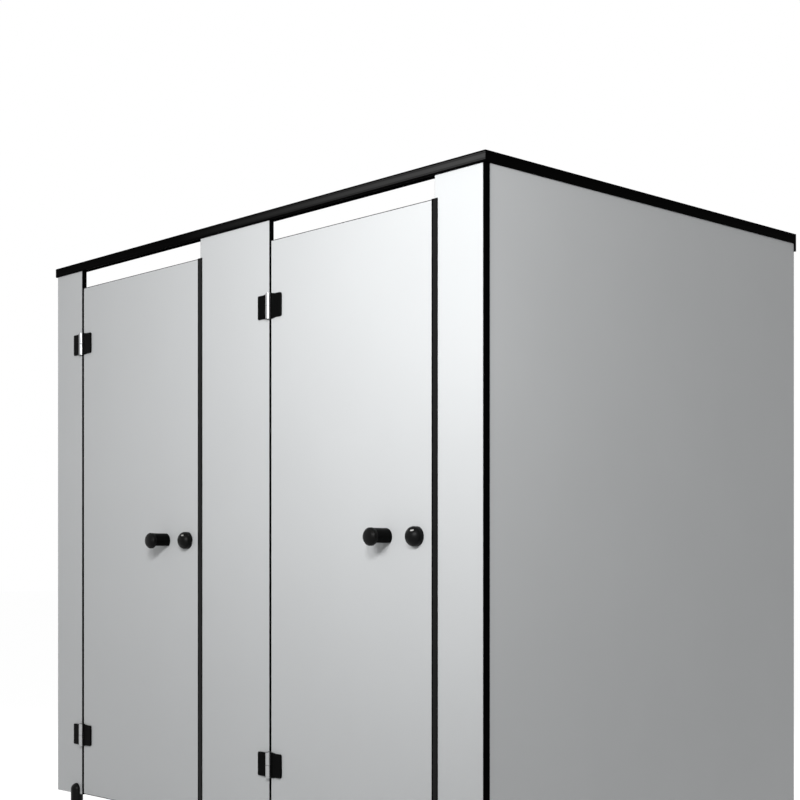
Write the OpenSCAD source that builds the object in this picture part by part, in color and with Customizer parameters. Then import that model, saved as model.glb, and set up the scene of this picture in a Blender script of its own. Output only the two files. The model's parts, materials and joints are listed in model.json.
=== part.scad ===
// Row of two toilet cubicles in compact laminate boards, fixed to a building wall at the back.
// X runs along the fronts, Y runs from the fronts to the wall and Z is up from the floor.
// The origin is on the floor, under the middle of the whole row.

/* [Row] */
// Width of one cubicle, board centre to board centre
module_w = 1050; // [1000:10:1200]
// Front face of the boards to the wall behind
depth = 1422; // [1200:1:1800]
// Floor to the top of the headrail
height = 2000; // [1900:10:2200]
// Floor to the underside of the boards
foot_h = 150; // [120:5:200]

/* [Boards] */
// Thickness of every board
board_t = 18; // [14:1:20]
// Chamfer round the edges of the boards
chamfer = 2.4; // [0.5:0.1:2.5]
// Width of the front board on a door's hinge side
hinge_side_w = 167.5; // [140:0.5:200]
// Width of a door board
door_w = 684.5; // [640:0.5:720]
// Gap between a door and the board that carries its hinges
hinge_gap = 9.5; // [7:0.5:10]
// Gap between a closed door's strip and the board it closes on
closing_gap = 3; // [2:0.5:4]
// Open gap between a door and the headrail
top_gap = 60; // [20:5:150]
// Height of a door's underside over the other boards' undersides
door_lift = 3; // [0:1:10]

/* [Headrail] */
// Height of the headrail
rail_h = 30; // [28:1:40]
// How far the headrail stands out from the boards' faces
rail_out = 5; // [4:0.5:8]
// Wall thickness of the headrail
rail_wall = 1.6; // [1.2:0.1:1.8]
// Height of the key that joins the two rails at the corner
key_h = 7; // [5:0.5:9]
// Length of each arm of the key
key_arm = 90; // [60:5:120]
// Length of the wall plate's flange below the rail
plate_drop = 25; // [15:1:40]
// Rail screws to the ends and the middle of the row
rail_screw_end = 60; // [40:5:120]

/* [Trims] */
// Width of the strip on a door's closing edge
strip_w = 22.5; // [18:0.5:26]
// How far that strip covers the door's face
strip_cover = 5; // [4:0.5:8]
// Thickness of the strip
strip_t = 2; // [1.5:0.1:2.5]
// Width of the corner trim on the front
trim_front = 8.5; // [8:0.5:20]
// Width of the corner trim on the side
trim_side = 16.5; // [8:0.5:20]
// Thickness of the corner trim
trim_t = 1.5; // [1:0.1:2]

/* [Hinges] */
// Height of a hinge cover
cover_h = 70; // [60:1:90]
// Hinge axis to the outer edge of a cover
cover_reach = 55; // [48:1:65]
// Thickness of a hinge cover
cover_t = 5.5; // [5:0.1:7]
// Radius of the hinge barrel
barrel_r = 8; // [7:0.1:9]
// Height of the hinge barrel with its end caps
barrel_h = 76; // [70:1:90]
// Radius of the hinge pin
pin_r = 4; // [3:0.1:5]
// Lower hinge's middle over the boards' undersides
hinge_low = 209; // [150:1:300]
// Upper hinge's middle below the door's top
hinge_high = 195; // [150:1:300]
// Thickness of a hinge's plate on the inside of a board
back_plate_t = 3; // [2:0.5:4]

/* [Knob] */
// Height of the knob and the lock over the floor
handle_z = 1027; // [950:1:1100]
// Knob's middle to the door board's closing edge
knob_inset = 182; // [150:1:220]
// Radius of the knob's neck
neck_r = 24; // [18:0.5:24.5]
// Depth of the finger cut under the neck, from its middle
neck_under = 16.4; // [12:0.2:18]
// Radius of the knob's round end
knob_r = 25; // [24.5:0.5:30]
// Length of the knob's round end
knob_end = 20; // [16:0.5:26]
// How far the knob reaches from the door
knob_reach = 72; // [60:1:90]
// Radius of the knob's rose on the inside
rose_r = 22; // [18:0.5:26]
// Thickness of the rose
rose_t = 8; // [7:0.5:12]
// Radius of the bolt that holds the knob
knob_bolt_r = 4; // [3:0.5:5]

/* [Lock] */
// Lock's middle to the door board's closing edge
lock_inset = 62; // [58:1:75]
// Radius of the lock's cover on the outside
dome_r = 27; // [25.5:0.1:28]
// Straight height of that cover
dome_base = 12; // [8:0.5:14]
// Height of its domed end
dome_rise = 20; // [14:0.5:24]
// Wall of that cover
dome_wall = 2; // [1.5:0.1:2.2]
// Height of the lock case on the inside
case_h = 60; // [56:1:70]
// Wall of the lock case
case_wall = 2.5; // [2:0.1:3]
// Travel of the slide bolt
bolt_travel = 20; // [16:0.5:22]
// Thickness of the slide bolt
bolt_t = 8; // [6:0.5:9]
// Height of the slide bolt
bolt_h = 15; // [14.5:0.5:16]
// Radius of the lock's spindle
spindle_r = 5; // [4:0.1:5.5]
// Length of the thumb turn's wing
wing_len = 52; // [40:1:60]
// Width of the wing
wing_w = 12; // [9:0.5:16]
// Width of a keeper
keeper_w = 24; // [20:1:30]
// Height of a keeper's plate
keeper_h = 60; // [56:1:70]

/* [Feet] */
// Radius of a foot's post
post_r = 21; // [19:0.5:24]
// Height of the post's ear over the boards' undersides
ear_h = 37; // [32:1:45]
// Middle of a front foot to the edge of its board
foot_inset = 37; // [25:1:60]
// Middle of a rear foot to the wall
foot_rear = 150; // [100:5:300]
// Radius of the floor flange
flange_r = 32; // [30:0.5:40]
// Thickness of the floor flange
flange_t = 6; // [5:0.5:8]
// Radius of the levelling stud
stud_r = 6; // [5:0.5:8]
// Radius of the circle of fixing holes in the flange
flange_pcr = 24; // [23.5:0.5:25]

/* [Brackets and screws] */
// Width of a bracket's arms
bracket_w = 40; // [35:1:50]
// Height of a bracket
bracket_h = 60; // [50:1:80]
// Thickness of the brackets
bracket_t = 3; // [2:0.5:4]
// Middle of an end bracket to the boards' lower end or the headrail
bracket_end = 250; // [150:10:400]
// Clear height between the middle brackets and the keepers
bracket_clear = 20; // [5:1:60]
// Radius of the holes for wall and floor bolts
fix_r = 2.75; // [2.25:0.25:3.5]
// Radius of a screw's shank
screw_r = 2.4; // [2:0.1:2.6]
// Radius of a screw's head
head_r = 4.8; // [4:0.1:5.5]
// Height of a screw's head
head_h = 2.8; // [2:0.1:3.2]

/* [Hidden] */

$fn = 48;
eps = 0.01;
over = 1;
// clearance of a pin in its bore, of a screw in its hole, of parts that slide or pass, and in the mitre
run_fit = 0.05;
screw_fit = 0.1;
slide_fit = 0.3;
mitre_fit = 0.1;
// room past a screw's tip in its hole
tip_room = 0.5;

laminate = "#d9dadb";
black_metal = "#161618";
black_nylon = "#1a1a1c";
steel = "#b9bcc0";

// places of the fronts
front_y = (knob_reach - depth) / 2;
back_y = front_y + board_t;
wall_y = front_y + depth;
end_x = module_w;
lefts = [-module_w, 0];
hinge_x = [for (x = lefts) x + hinge_side_w + hinge_gap / 2];
door_x = [for (x = lefts) x + hinge_side_w + hinge_gap];
edge_x = [for (x = door_x) x + door_w];
close_x = [for (x = edge_x) x + strip_t + closing_gap];
close_side_w = module_w - hinge_side_w - hinge_gap - door_w - strip_t - closing_gap;
rail_z = height - rail_h;
key_space = key_h + 1;
board_top = height - rail_wall - key_space;
door_z = foot_h + door_lift;
door_top = rail_z - top_gap;
door_h = door_top - door_z;
plate_t = 3;

// places of the hinges, the knob and the lock
hinge_y = front_y - barrel_r;
hinge_z = [foot_h + hinge_low, door_top - hinge_high];
cap_h = 4;
half_barrel = barrel_h / 2 - cap_h;
leaf_start = barrel_r + 1;
hinge_screw_x = 0.6 * cover_reach;
hinge_screw_z = 18;
knob_x = [for (x = edge_x) x - knob_inset];
lock_x = [for (x = edge_x) x - lock_inset];
cam_r = 17.2;
cam_t = 3;
crank_pin_r = 2.5;
// the crank turns from 45 degrees on one side of upright to 45 on the other
crank_r = bolt_travel / (2 * sin(45));
bolt_low = spindle_r + 1.5;
bolt_y = back_y + cam_t + 1.5;
case_d = bolt_y - back_y + bolt_t + 0.5 + case_wall;
case_y = back_y + case_d;
case_left = 42;
case_gap = 3;
case_right = lock_inset - case_gap;
bolt_tip = case_right + 1;
bolt_len = 84;
lug_a = 20;
lug_r = 21;
wing_t = 14;
hub_r = 14;
turn_y = case_y + slide_fit;
wing_y = case_y + head_h + 1.2;

// keepers: a plate with a box round the bolt's slot
keeper_mid = handle_z + bolt_low + bolt_h / 2;
keeper_base = 2;
keeper_wall = 2;
keeper_play = 1;
keeper_inset = 1.5;
keeper_screw_z = keeper_h / 2 - 7;

// the heights of the three brackets on every joint, and the screws' places on them
bracket_mid = keeper_mid - (keeper_h + bracket_h) / 2 - bracket_clear;
bracket_z = [foot_h + bracket_end, bracket_mid, rail_z - bracket_end];
screw_dz = 20;
fix_dz = 12;
screw_in = 26;
screw_len = 14;
// bracket places: x, y, turn about the vertical; corner ones meet a front, wall ones the wall
corner_spots = [[-end_x + board_t, back_y, 0], [-board_t / 2, back_y, 90],
    [board_t / 2, back_y, 0], [end_x - board_t, back_y, 90]];
wall_spots = [[-end_x + board_t, wall_y, -90], [board_t / 2, wall_y, -90],
    [end_x - board_t, wall_y, 180]];
// feet: x, y, turn so that the ear lies on the board's face
front_feet = [[-end_x + hinge_side_w - foot_inset, front_y, 0],
    [-close_side_w + foot_inset, front_y, 0], [hinge_side_w - foot_inset, front_y, 0],
    [end_x - close_side_w + foot_inset, front_y, 0]];
rear_feet = [[-end_x + board_t, wall_y - foot_rear, 90], [board_t / 2, wall_y - foot_rear, 90],
    [end_x - board_t, wall_y - foot_rear, -90]];
feet = concat(front_feet, rear_feet);
ear_round = ear_h - post_r;
foot_screw_dx = 9;
foot_screw_z = ear_round - 2;
foot_bite = 9;
foot_screw_len = board_t + foot_bite;
post_low = 40;
nut_h = 10;
nut_r = 1.8 * stud_r;
boss_h = 8;
stud_top = 80;
stud_room = 5;

// Plain shapes

module chamfered(a, b, c) {
    polygon([[c, 0], [a - c, 0], [a, c], [a, b - c], [a - c, b], [c, b], [0, b - c], [0, c]]);
}

// A board in the XZ plane with its front face at y = 0 and all of its edges chamfered
module board(w, h) {
    intersection() {
        linear_extrude(h) chamfered(w, board_t, chamfer);
        rotate([90, 0, 90]) linear_extrude(w) chamfered(board_t, h, chamfer);
    }
}

// The same board turned to run along Y, from its front end to its rear end
module side_board(len, h) {
    translate([board_t, 0, 0]) rotate([0, 0, 90]) board(len, h);
}

// A cylinder along +Y from y = 0
module along_y(r, len) {
    rotate([-90, 0, 0]) cylinder(r = r, h = len);
}

// A pan-head screw whose head's underside is at the origin and whose shank runs along -Y
module screw(len) {
    rotate([-90, 0, 0]) rotate_extrude() polygon([[0, -len], [screw_r - 0.6, -len],
        [screw_r, -len + 1.2], [screw_r, 0], [head_r, 0], [head_r, head_h * 0.5],
        [head_r * 0.8, head_h * 0.85], [head_r * 0.45, head_h], [0, head_h]]);
}

module screw_hole(len) {
    rotate([90, 0, 0]) cylinder(r = screw_r + screw_fit, h = len);
}

// Brackets

module at_brackets(spots) {
    for (spot = spots, z = bracket_z) {
        translate([spot[0], spot[1], z]) rotate([0, 0, spot[2]]) children();
    }
}

// The two holes of the arm along X: wider and closer together where the arm lies on the wall
module arm_holes(on_wall) {
    r = on_wall ? fix_r : screw_r + screw_fit;
    dz = on_wall ? fix_dz : screw_dz;
    for (z = [-dz, dz]) {
        translate([screw_in, -over, z]) along_y(r, bracket_t + 2 * over);
    }
}

// An angle along +X and +Y with its outer corner at the origin
module angle(x_arm_on_wall, y_arm_on_wall) {
    difference() {
        translate([0, 0, -bracket_h / 2]) linear_extrude(bracket_h) polygon([[0, 0], [bracket_w, 0],
            [bracket_w, bracket_t], [bracket_t, bracket_t], [bracket_t, bracket_w], [0, bracket_w]]);
        arm_holes(x_arm_on_wall);
        mirror([1, -1, 0]) arm_holes(y_arm_on_wall);
    }
}

// Children at the two screws on the arm along X, or on the arm along Y when second is true
module at_angle_screws(second) {
    for (z = [-screw_dz, screw_dz]) {
        if (second) translate([bracket_t, screw_in, z]) rotate([0, 0, -90]) children();
        else translate([screw_in, bracket_t, z]) children();
    }
}

module at_frame_screws() {
    at_brackets(corner_spots) {
        at_angle_screws(false) children();
        at_angle_screws(true) children();
    }
    at_brackets([wall_spots[0], wall_spots[1]]) at_angle_screws(false) children();
    at_brackets([wall_spots[2]]) at_angle_screws(true) children();
}

module corner_brackets() {
    color(black_metal) at_brackets(corner_spots) angle(false, false);
}

module wall_brackets() {
    color(black_metal) {
        at_brackets([wall_spots[0], wall_spots[1]]) angle(false, true);
        at_brackets([wall_spots[2]]) angle(true, false);
    }
}

// Keepers

module at_keepers() {
    for (x = close_x) {
        translate([x + keeper_inset, back_y, keeper_mid]) children();
    }
}

module keeper() {
    slot_h = bolt_h + 2 * keeper_play;
    slot_y = bolt_y - back_y - keeper_play;
    slot_d = bolt_t + 2 * keeper_play;
    box_h = slot_h + 2 * keeper_wall;
    difference() {
        union() {
            translate([0, 0, -keeper_h / 2]) cube([keeper_w, keeper_base, keeper_h]);
            translate([0, 0, -box_h / 2]) cube([keeper_w, slot_y + slot_d + keeper_wall, box_h]);
        }
        translate([-over, slot_y, -slot_h / 2]) cube([keeper_w + 2 * over, slot_d, slot_h]);
        for (z = [-keeper_screw_z, keeper_screw_z]) {
            translate([keeper_w / 2, -over, z]) along_y(screw_r + screw_fit, keeper_base + 2 * over);
        }
    }
}

module at_keeper_screws() {
    at_keepers() {
        for (z = [-keeper_screw_z, keeper_screw_z]) {
            translate([keeper_w / 2, keeper_base, z]) children();
        }
    }
}

module keepers() {
    color(steel) at_keepers() keeper();
}

// Headrail

rail_d = board_t + 2 * rail_out;
rail_seat = board_t + 2 * run_fit;

// The rail's section: y from the front, z up, with a seat for the boards and two hollow legs
module rail_section() {
    leg = (rail_d - rail_seat) / 2;
    difference() {
        square([rail_d, rail_h]);
        translate([leg, -over]) square([rail_seat, rail_h - rail_wall + over]);
        for (y = [rail_wall, rail_d - leg + rail_wall]) {
            translate([y, rail_wall]) square([leg - 2 * rail_wall, rail_h - 2 * rail_wall]);
        }
    }
}

cap_t = 1.5;
rail_left = -end_x - rail_out;
rail_right = end_x + rail_out;
rail_front = front_y - rail_out;

// clearance of the key, the tongue and the plug in the headrail
rail_fit = 0.1;
key_z = height - rail_wall - key_h - rail_fit;
key_d = board_t - 2 * rail_fit;
rail_screw_len = rail_out + 10;
// the screw by the corner stays past the key's arm
rail_screw_x = [-end_x + rail_screw_end, -rail_screw_end, rail_screw_end, end_x - key_arm];
rail_screw_run = [depth * 0.25, depth * 0.7];

module at_rail_screws() {
    z = rail_z + rail_h / 3;
    for (x = rail_screw_x) {
        translate([x, back_y + rail_out, z]) children();
    }
    for (run = rail_screw_run) {
        translate([end_x - board_t - rail_out, front_y + run, z]) rotate([0, 0, 90]) children();
    }
}

module headrail_front() {
    color(black_metal) difference() {
        translate([rail_left + cap_t, rail_front, rail_z]) rotate([90, 0, 90])
            linear_extrude(2 * end_x + 2 * rail_out - cap_t) rail_section();
        translate([rail_right, rail_front, rail_z - over]) rotate([0, 0, 45])
            translate([0, -rail_d, 0]) cube([2 * rail_d, 3 * rail_d, rail_h + 2 * over]);
        at_rail_screws() screw_hole(rail_screw_len);
    }
}

module headrail_return() {
    color(black_metal) difference() {
        translate([rail_right, rail_front, rail_z]) rotate([90, 0, 180])
            linear_extrude(wall_y - plate_t - rail_front) rail_section();
        translate([rail_right, rail_front, rail_z - over]) rotate([0, 0, 45])
            translate([-2 * rail_d, -rail_d, 0]) cube([2 * rail_d, 3 * rail_d, rail_h + 2 * over]);
        at_rail_screws() screw_hole(rail_screw_len);
    }
}

module headrail_corner_key() {
    color(steel) translate([end_x - key_arm, front_y + rail_fit, key_z]) difference() {
        cube([key_arm - rail_fit, key_arm, key_h]);
        translate([-over, key_d, -over])
            cube([key_arm - key_d + over - rail_fit, key_arm, key_h + 2 * over]);
    }
}

module headrail_end_cap() {
    plug = rail_out - cap_t - 2 * rail_fit;
    lip = 2;
    edge = 1;
    color(black_nylon) {
        translate([rail_left, rail_front, rail_z]) rotate([90, 0, 90]) linear_extrude(cap_t)
            chamfered(rail_d, rail_h, edge);
        translate([rail_left + cap_t - eps, front_y + rail_fit, rail_z + lip])
            cube([plug, key_d, rail_h - rail_wall - lip - 2 * rail_fit]);
    }
}

plate_in = 30;
plate_hole_in = [12, 14];
plate_hole_z = [rail_z - plate_drop + plate_hole_in[0], height - plate_hole_in[1]];

module headrail_wall_plate() {
    tongue = 30;
    left = rail_right - rail_d - plate_in;
    color(black_metal) difference() {
        union() {
            translate([left, wall_y - plate_t, rail_z - plate_drop])
                cube([rail_d + plate_in, plate_t, rail_h + plate_drop]);
            translate([end_x - board_t + 2 * rail_fit, wall_y - plate_t - tongue, key_z])
                cube([board_t - 4 * rail_fit, tongue + eps, key_h]);
        }
        for (z = plate_hole_z) {
            translate([left + plate_in / 2, wall_y - plate_t - over, z]) along_y(fix_r, plate_t + 2 * over);
        }
    }
}

module corner_trim() {
    edge = 0.6;
    color(black_metal) translate([end_x + trim_t, front_y - trim_t, foot_h]) mirror([1, 0, 0])
        linear_extrude(rail_z - foot_h) polygon([[0, edge], [edge, 0], [trim_front, 0],
            [trim_front, trim_t], [trim_t, trim_t], [trim_t, trim_side], [0, trim_side]]);
}

// Feet

module at_feet(spots) {
    for (spot = spots) {
        translate([spot[0], spot[1], 0]) rotate([0, 0, spot[2]]) children();
    }
}

module at_foot_screws(spots) {
    at_feet(spots) {
        for (x = [-foot_screw_dx, foot_screw_dx]) {
            translate([x, board_t, foot_h + foot_screw_z]) children();
        }
    }
}

module foot_post() {
    difference() {
        union() {
            translate([0, 0, post_low]) cylinder(r = post_r, h = foot_h - post_low);
            intersection() {
                union() {
                    translate([0, 0, post_low]) cylinder(r = post_r, h = foot_h + ear_round - post_low);
                    translate([0, 0, foot_h + ear_round]) sphere(r = post_r);
                }
                translate([-post_r - over, -post_r - over, post_low])
                    cube([2 * (post_r + over), post_r + over, foot_h + ear_h]);
            }
        }
        translate([0, 0, post_low - over])
            cylinder(r = stud_r + run_fit, h = stud_top + stud_room - post_low);
        for (x = [-foot_screw_dx, foot_screw_dx]) {
            translate([x, over, foot_h + foot_screw_z]) screw_hole(foot_bite + over + tip_room);
        }
    }
}

module foot_posts() {
    color(black_nylon) at_feet(feet) foot_post();
}

module foot_studs() {
    color(steel) at_feet(feet) translate([0, 0, flange_t]) cylinder(r = stud_r, h = stud_top - flange_t);
}

module foot_lock_nuts() {
    color(steel) at_feet(feet) translate([0, 0, post_low - nut_h]) difference() {
        cylinder(r = nut_r, h = nut_h, $fn = 6);
        translate([0, 0, -over]) cylinder(r = stud_r + run_fit, h = nut_h + 2 * over);
    }
}

module foot_flanges() {
    color(black_nylon) at_feet(feet) difference() {
        union() {
            cylinder(r = flange_r, h = flange_t);
            cylinder(r = flange_r / 2, h = flange_t + boss_h);
        }
        translate([0, 0, flange_t]) cylinder(r = stud_r + run_fit, h = boss_h + over);
        for (a = [90, 210, 330]) {
            rotate([0, 0, a]) translate([flange_pcr, 0, -over])
                cylinder(r = fix_r, h = flange_t + 2 * over);
        }
    }
}

module foot_screws() {
    color(steel) at_foot_screws(feet) screw(foot_screw_len);
}

module at_all_frame_screws() {
    at_frame_screws() children();
    at_keeper_screws() children();
}

module frame_screws() {
    color(steel) {
        at_all_frame_screws() screw(screw_len);
        at_rail_screws() screw(rail_screw_len);
    }
}

// Holes in the fixed boards

module frame_holes() {
    at_all_frame_screws() screw_hole(screw_len + tip_room);
    at_rail_screws() screw_hole(rail_screw_len + tip_room);
}

// Hinges: side -1 is the fixed leaf, side 1 the door's leaf

module at_hinges(i) {
    for (z = hinge_z) {
        translate([hinge_x[i], hinge_y, z]) children();
    }
}

module at_leaf_screws(side) {
    for (z = [-hinge_screw_z, hinge_screw_z]) {
        translate([side * hinge_screw_x, barrel_r + board_t + back_plate_t, z]) children();
    }
}

leaf_bite = 3.2;
leaf_screw_len = back_plate_t + board_t + leaf_bite;
tongue_t = 2;
tongue_len = 0.78 * cover_reach;
cover_cut = 4;
cover_edge = 1.5;
cover_swell = 1;
cover_slope = 6;
// the pin's ends and its bore's end under the caps' outer faces
pin_end = 1.2;
pin_bore_end = 1;

// Seen from the front: square outer end with cut corners, shoulders that rise to the barrel
module cover_outline() {
    half = cover_h / 2;
    polygon([[leaf_start, -barrel_h / 2], [cover_reach / 2, -half], [cover_reach - cover_cut, -half],
        [cover_reach, cover_cut - half], [cover_reach, half - cover_cut],
        [cover_reach - cover_cut, half], [cover_reach / 2, half], [leaf_start, barrel_h / 2]]);
}

// Seen from above: thicker near the barrel, with a chamfered outer edge
module cover_profile() {
    face = barrel_r - cover_t;
    polygon([[leaf_start, barrel_r], [leaf_start, face - cover_swell], [leaf_start + cover_slope, face],
        [cover_reach - cover_edge, face], [cover_reach, face + cover_edge], [cover_reach, barrel_r]]);
}

module hinge_cover() {
    cap_z = half_barrel;
    difference() {
        union() {
            intersection() {
                translate([0, barrel_r, 0]) rotate([90, 0, 0])
                    linear_extrude(2 * barrel_r) cover_outline();
                translate([0, 0, -barrel_h / 2]) linear_extrude(barrel_h) cover_profile();
            }
            translate([0, 0, cap_z]) cylinder(r = barrel_r, h = cap_h);
            translate([0, barrel_r - cover_t, cap_z])
                cube([leaf_start + eps, cover_t - slide_fit, cap_h]);
        }
        translate([0, 0, cap_z - over]) cylinder(r = pin_r + run_fit, h = cap_h - pin_bore_end + over);
        // the tongue's seat
        translate([leaf_start - over, barrel_r - tongue_t - screw_fit, slide_fit / 2 - screw_fit])
            cube([tongue_len - leaf_start + over + screw_fit, tongue_t + over,
                half_barrel - slide_fit / 2 + screw_fit]);
        for (z = [-hinge_screw_z, hinge_screw_z]) {
            translate([hinge_screw_x, barrel_r + over, z]) screw_hole(leaf_bite + 2 * screw_fit + over);
        }
    }
}

module hinge_knuckle() {
    low = slide_fit / 2;
    difference() {
        union() {
            translate([0, 0, low]) cylinder(r = barrel_r, h = half_barrel - low);
            translate([0, barrel_r - tongue_t, low]) cube([tongue_len, tongue_t, half_barrel - low]);
        }
        translate([0, 0, low - over]) cylinder(r = pin_r + run_fit, h = half_barrel + 2 * over);
        translate([hinge_screw_x, barrel_r + over, hinge_screw_z]) screw_hole(tongue_t + 2 * over);
    }
}

module hinge_plate() {
    plate_start = hinge_gap / 2 + chamfer + 0.2;
    difference() {
        translate([plate_start, barrel_r + board_t, -cover_h / 2])
            cube([cover_reach - plate_start, back_plate_t, cover_h]);
        for (z = [-hinge_screw_z, hinge_screw_z]) {
            translate([hinge_screw_x, barrel_r + board_t + back_plate_t + over, z])
                screw_hole(back_plate_t + 2 * over);
        }
    }
}

// The fixed leaf is the door's leaf turned half a turn: its cap is at the bottom
module fixed_leaf() {
    mirror([1, 0, 0]) mirror([0, 0, 1]) children();
}

module hinge_covers_fixed() {
    color(black_nylon) for (i = [0, 1]) at_hinges(i) fixed_leaf() hinge_cover();
}

module hinge_knuckles_fixed() {
    color(steel) for (i = [0, 1]) at_hinges(i) fixed_leaf() hinge_knuckle();
}

module hinge_pins() {
    color(steel) for (i = [0, 1]) at_hinges(i) translate([0, 0, pin_end - barrel_h / 2])
        cylinder(r = pin_r, h = barrel_h - 2 * pin_end);
}

module hinge_plates_fixed() {
    color(steel) for (i = [0, 1]) at_hinges(i) fixed_leaf() hinge_plate();
}

module hinge_screws_fixed() {
    color(steel) for (i = [0, 1]) at_hinges(i) at_leaf_screws(-1) screw(leaf_screw_len);
}

module fixed_hinge_holes() {
    for (i = [0, 1]) at_hinges(i) at_leaf_screws(-1) screw_hole(leaf_screw_len);
}

// Fixed boards

module pilaster(x, w) {
    color(laminate) difference() {
        translate([x, front_y, foot_h]) board(w, board_top - foot_h);
        frame_holes();
        fixed_hinge_holes();
        at_foot_screws(front_feet) screw_hole(foot_screw_len);
    }
}

module pilaster_left() {
    pilaster(-end_x, hinge_side_w);
}

module pilaster_middle() {
    pilaster(-close_side_w, close_side_w + hinge_side_w);
}

// Takes off the far side of the corner's mitre: 45 degrees for the front board, 225 for the panel
module mitre_cut(turn) {
    translate([end_x, front_y, foot_h - over]) rotate([0, 0, turn])
        translate([-mitre_fit / 2, -2 * board_t, 0]) cube([2 * board_t, 4 * board_t, height]);
}

module pilaster_right() {
    color(laminate) difference() {
        pilaster(end_x - close_side_w, close_side_w);
        mitre_cut(45);
    }
}

module panel(x, start, top) {
    color(laminate) difference() {
        translate([x, start, foot_h]) side_board(wall_y - plate_t - start, top - foot_h);
        frame_holes();
        at_foot_screws(rear_feet) screw_hole(foot_screw_len);
    }
}

// these two end level with the doors, out of sight behind the openings over them
module end_panel_left() {
    panel(-end_x, back_y, door_top);
}

module partition_middle() {
    panel(-board_t / 2, back_y, door_top);
}

module end_panel_right() {
    color(laminate) difference() {
        panel(end_x - board_t, front_y, board_top);
        mitre_cut(225);
    }
}

// Doors

module door(i) {
    color(laminate) difference() {
        translate([door_x[i], front_y, door_z]) board(door_w, door_h);
        at_hinges(i) at_leaf_screws(1) screw_hole(leaf_screw_len);
        translate([knob_x[i], front_y - over, handle_z])
            along_y(knob_bolt_r + screw_fit, board_t + 2 * over);
        translate([lock_x[i], front_y - over, handle_z]) {
            along_y(spindle_r + spindle_room, board_t + 2 * over);
            at_lugs() along_y(screw_r + screw_fit, board_t + 2 * over);
        }
    }
}

module closing_strip(i) {
    edge = 0.8;
    lap = strip_w - strip_cover;
    color(black_metal) translate([edge_x[i], front_y, door_z]) linear_extrude(door_h)
        polygon([[-strip_cover, 0], [-strip_cover, edge - strip_t], [edge - strip_cover, -strip_t],
            [lap - edge, -strip_t], [lap, edge - strip_t], [lap, -slide_fit], [strip_t, -slide_fit],
            [strip_t, board_t - chamfer], [0, board_t - chamfer], [0, 0]]);
}

module hinge_covers(i) {
    color(black_nylon) at_hinges(i) hinge_cover();
}

module hinge_knuckles(i) {
    color(steel) at_hinges(i) hinge_knuckle();
}

module hinge_plates(i) {
    color(steel) at_hinges(i) hinge_plate();
}

lock_bite = 6;
lock_screw_len = case_d + board_t + lock_bite;

// Children at the lock's two screws, seen from the lock's axis
module at_lugs() {
    for (a = [180 + lug_a, -lug_a]) {
        translate([lug_r * cos(a), 0, lug_r * sin(a)]) children();
    }
}

module door_screws(i) {
    color(steel) {
        at_hinges(i) at_leaf_screws(1) screw(leaf_screw_len);
        translate([lock_x[i], case_y, handle_z]) at_lugs() screw(lock_screw_len);
    }
}

// Knob: a round neck with a flat finger cut underneath, and a mushroom end

neck_len = knob_reach - knob_end;
// the bolt's bore stops short of the neck's outer end, and the bolt short of the bore's
neck_solid = 10;
neck_room = 4;
bolt_head_t = 3.5;
bolt_head_r = knob_bolt_r + 3.5;
bolt_recess = 4;

module knob_neck(i) {
    color(black_nylon) translate([knob_x[i], front_y - neck_len, handle_z]) difference() {
        intersection() {
            along_y(neck_r, neck_len);
            translate([-neck_r - over, -over, -neck_under])
                cube([2 * (neck_r + over), neck_len + 2 * over, 2 * neck_r]);
        }
        translate([0, neck_solid, 0]) along_y(knob_bolt_r + screw_fit, neck_len);
    }
}

module knob_end(i) {
    rim = 7;
    dome = 3;
    edge = 1.5;
    face_r = knob_r - rim;
    face = knob_end - dome;
    color(black_nylon) translate([knob_x[i], front_y - neck_len, handle_z]) rotate([90, 0, 0])
        rotate_extrude() polygon(concat([[0, 0], [knob_r - edge, 0], [knob_r, edge]],
            [for (a = [0:10:80]) [face_r + rim * cos(a), face - rim + rim * sin(a)]],
            [for (t = [0:1 / 6:1]) [face_r * cos(90 * t), face + dome * sin(90 * t)]]));
}

module knob_rose(i) {
    edge = 2;
    color(black_nylon) translate([knob_x[i], back_y, handle_z]) rotate([-90, 0, 0]) difference() {
        rotate_extrude()
            polygon([[0, 0], [rose_r, 0], [rose_r, rose_t - edge], [rose_r - edge, rose_t], [0, rose_t]]);
        translate([0, 0, -over]) cylinder(r = knob_bolt_r + screw_fit, h = rose_t + 2 * over);
        translate([0, 0, rose_t - bolt_recess]) cylinder(r = bolt_head_r + 0.5, h = bolt_recess + over);
    }
}

module knob_bolt(i) {
    socket = 2.5;
    inside = bolt_head_t - socket - 0.1;
    grip = rose_t - bolt_recess + board_t + neck_len - neck_solid - neck_room;
    color(steel) translate([knob_x[i], back_y + rose_t - bolt_recess, handle_z]) rotate([90, 0, 0]) {
        translate([0, 0, -inside]) cylinder(r = knob_bolt_r, h = inside + grip);
        translate([0, 0, -bolt_head_t]) difference() {
            cylinder(r = bolt_head_r, h = bolt_head_t);
            translate([0, 0, -over]) cylinder(r = knob_bolt_r - 0.5, h = socket + over, $fn = 6);
        }
    }
}

// Lock: a domed cover outside, a case with the slide bolt inside, one spindle through both

boss_r = 4.8;
boss_in = 0.5;
window_x = 7;
window_z = 16;
window_r = 2.6;
window_half = 3.6;

function dome(r, base, rise) = [for (t = [0:1 / 12:1]) [r * cos(90 * t), base + rise * sin(90 * t)]];
function cup(r, base, rise) = concat([[0, 0], [r, 0]], dome(r, base, rise));

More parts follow.
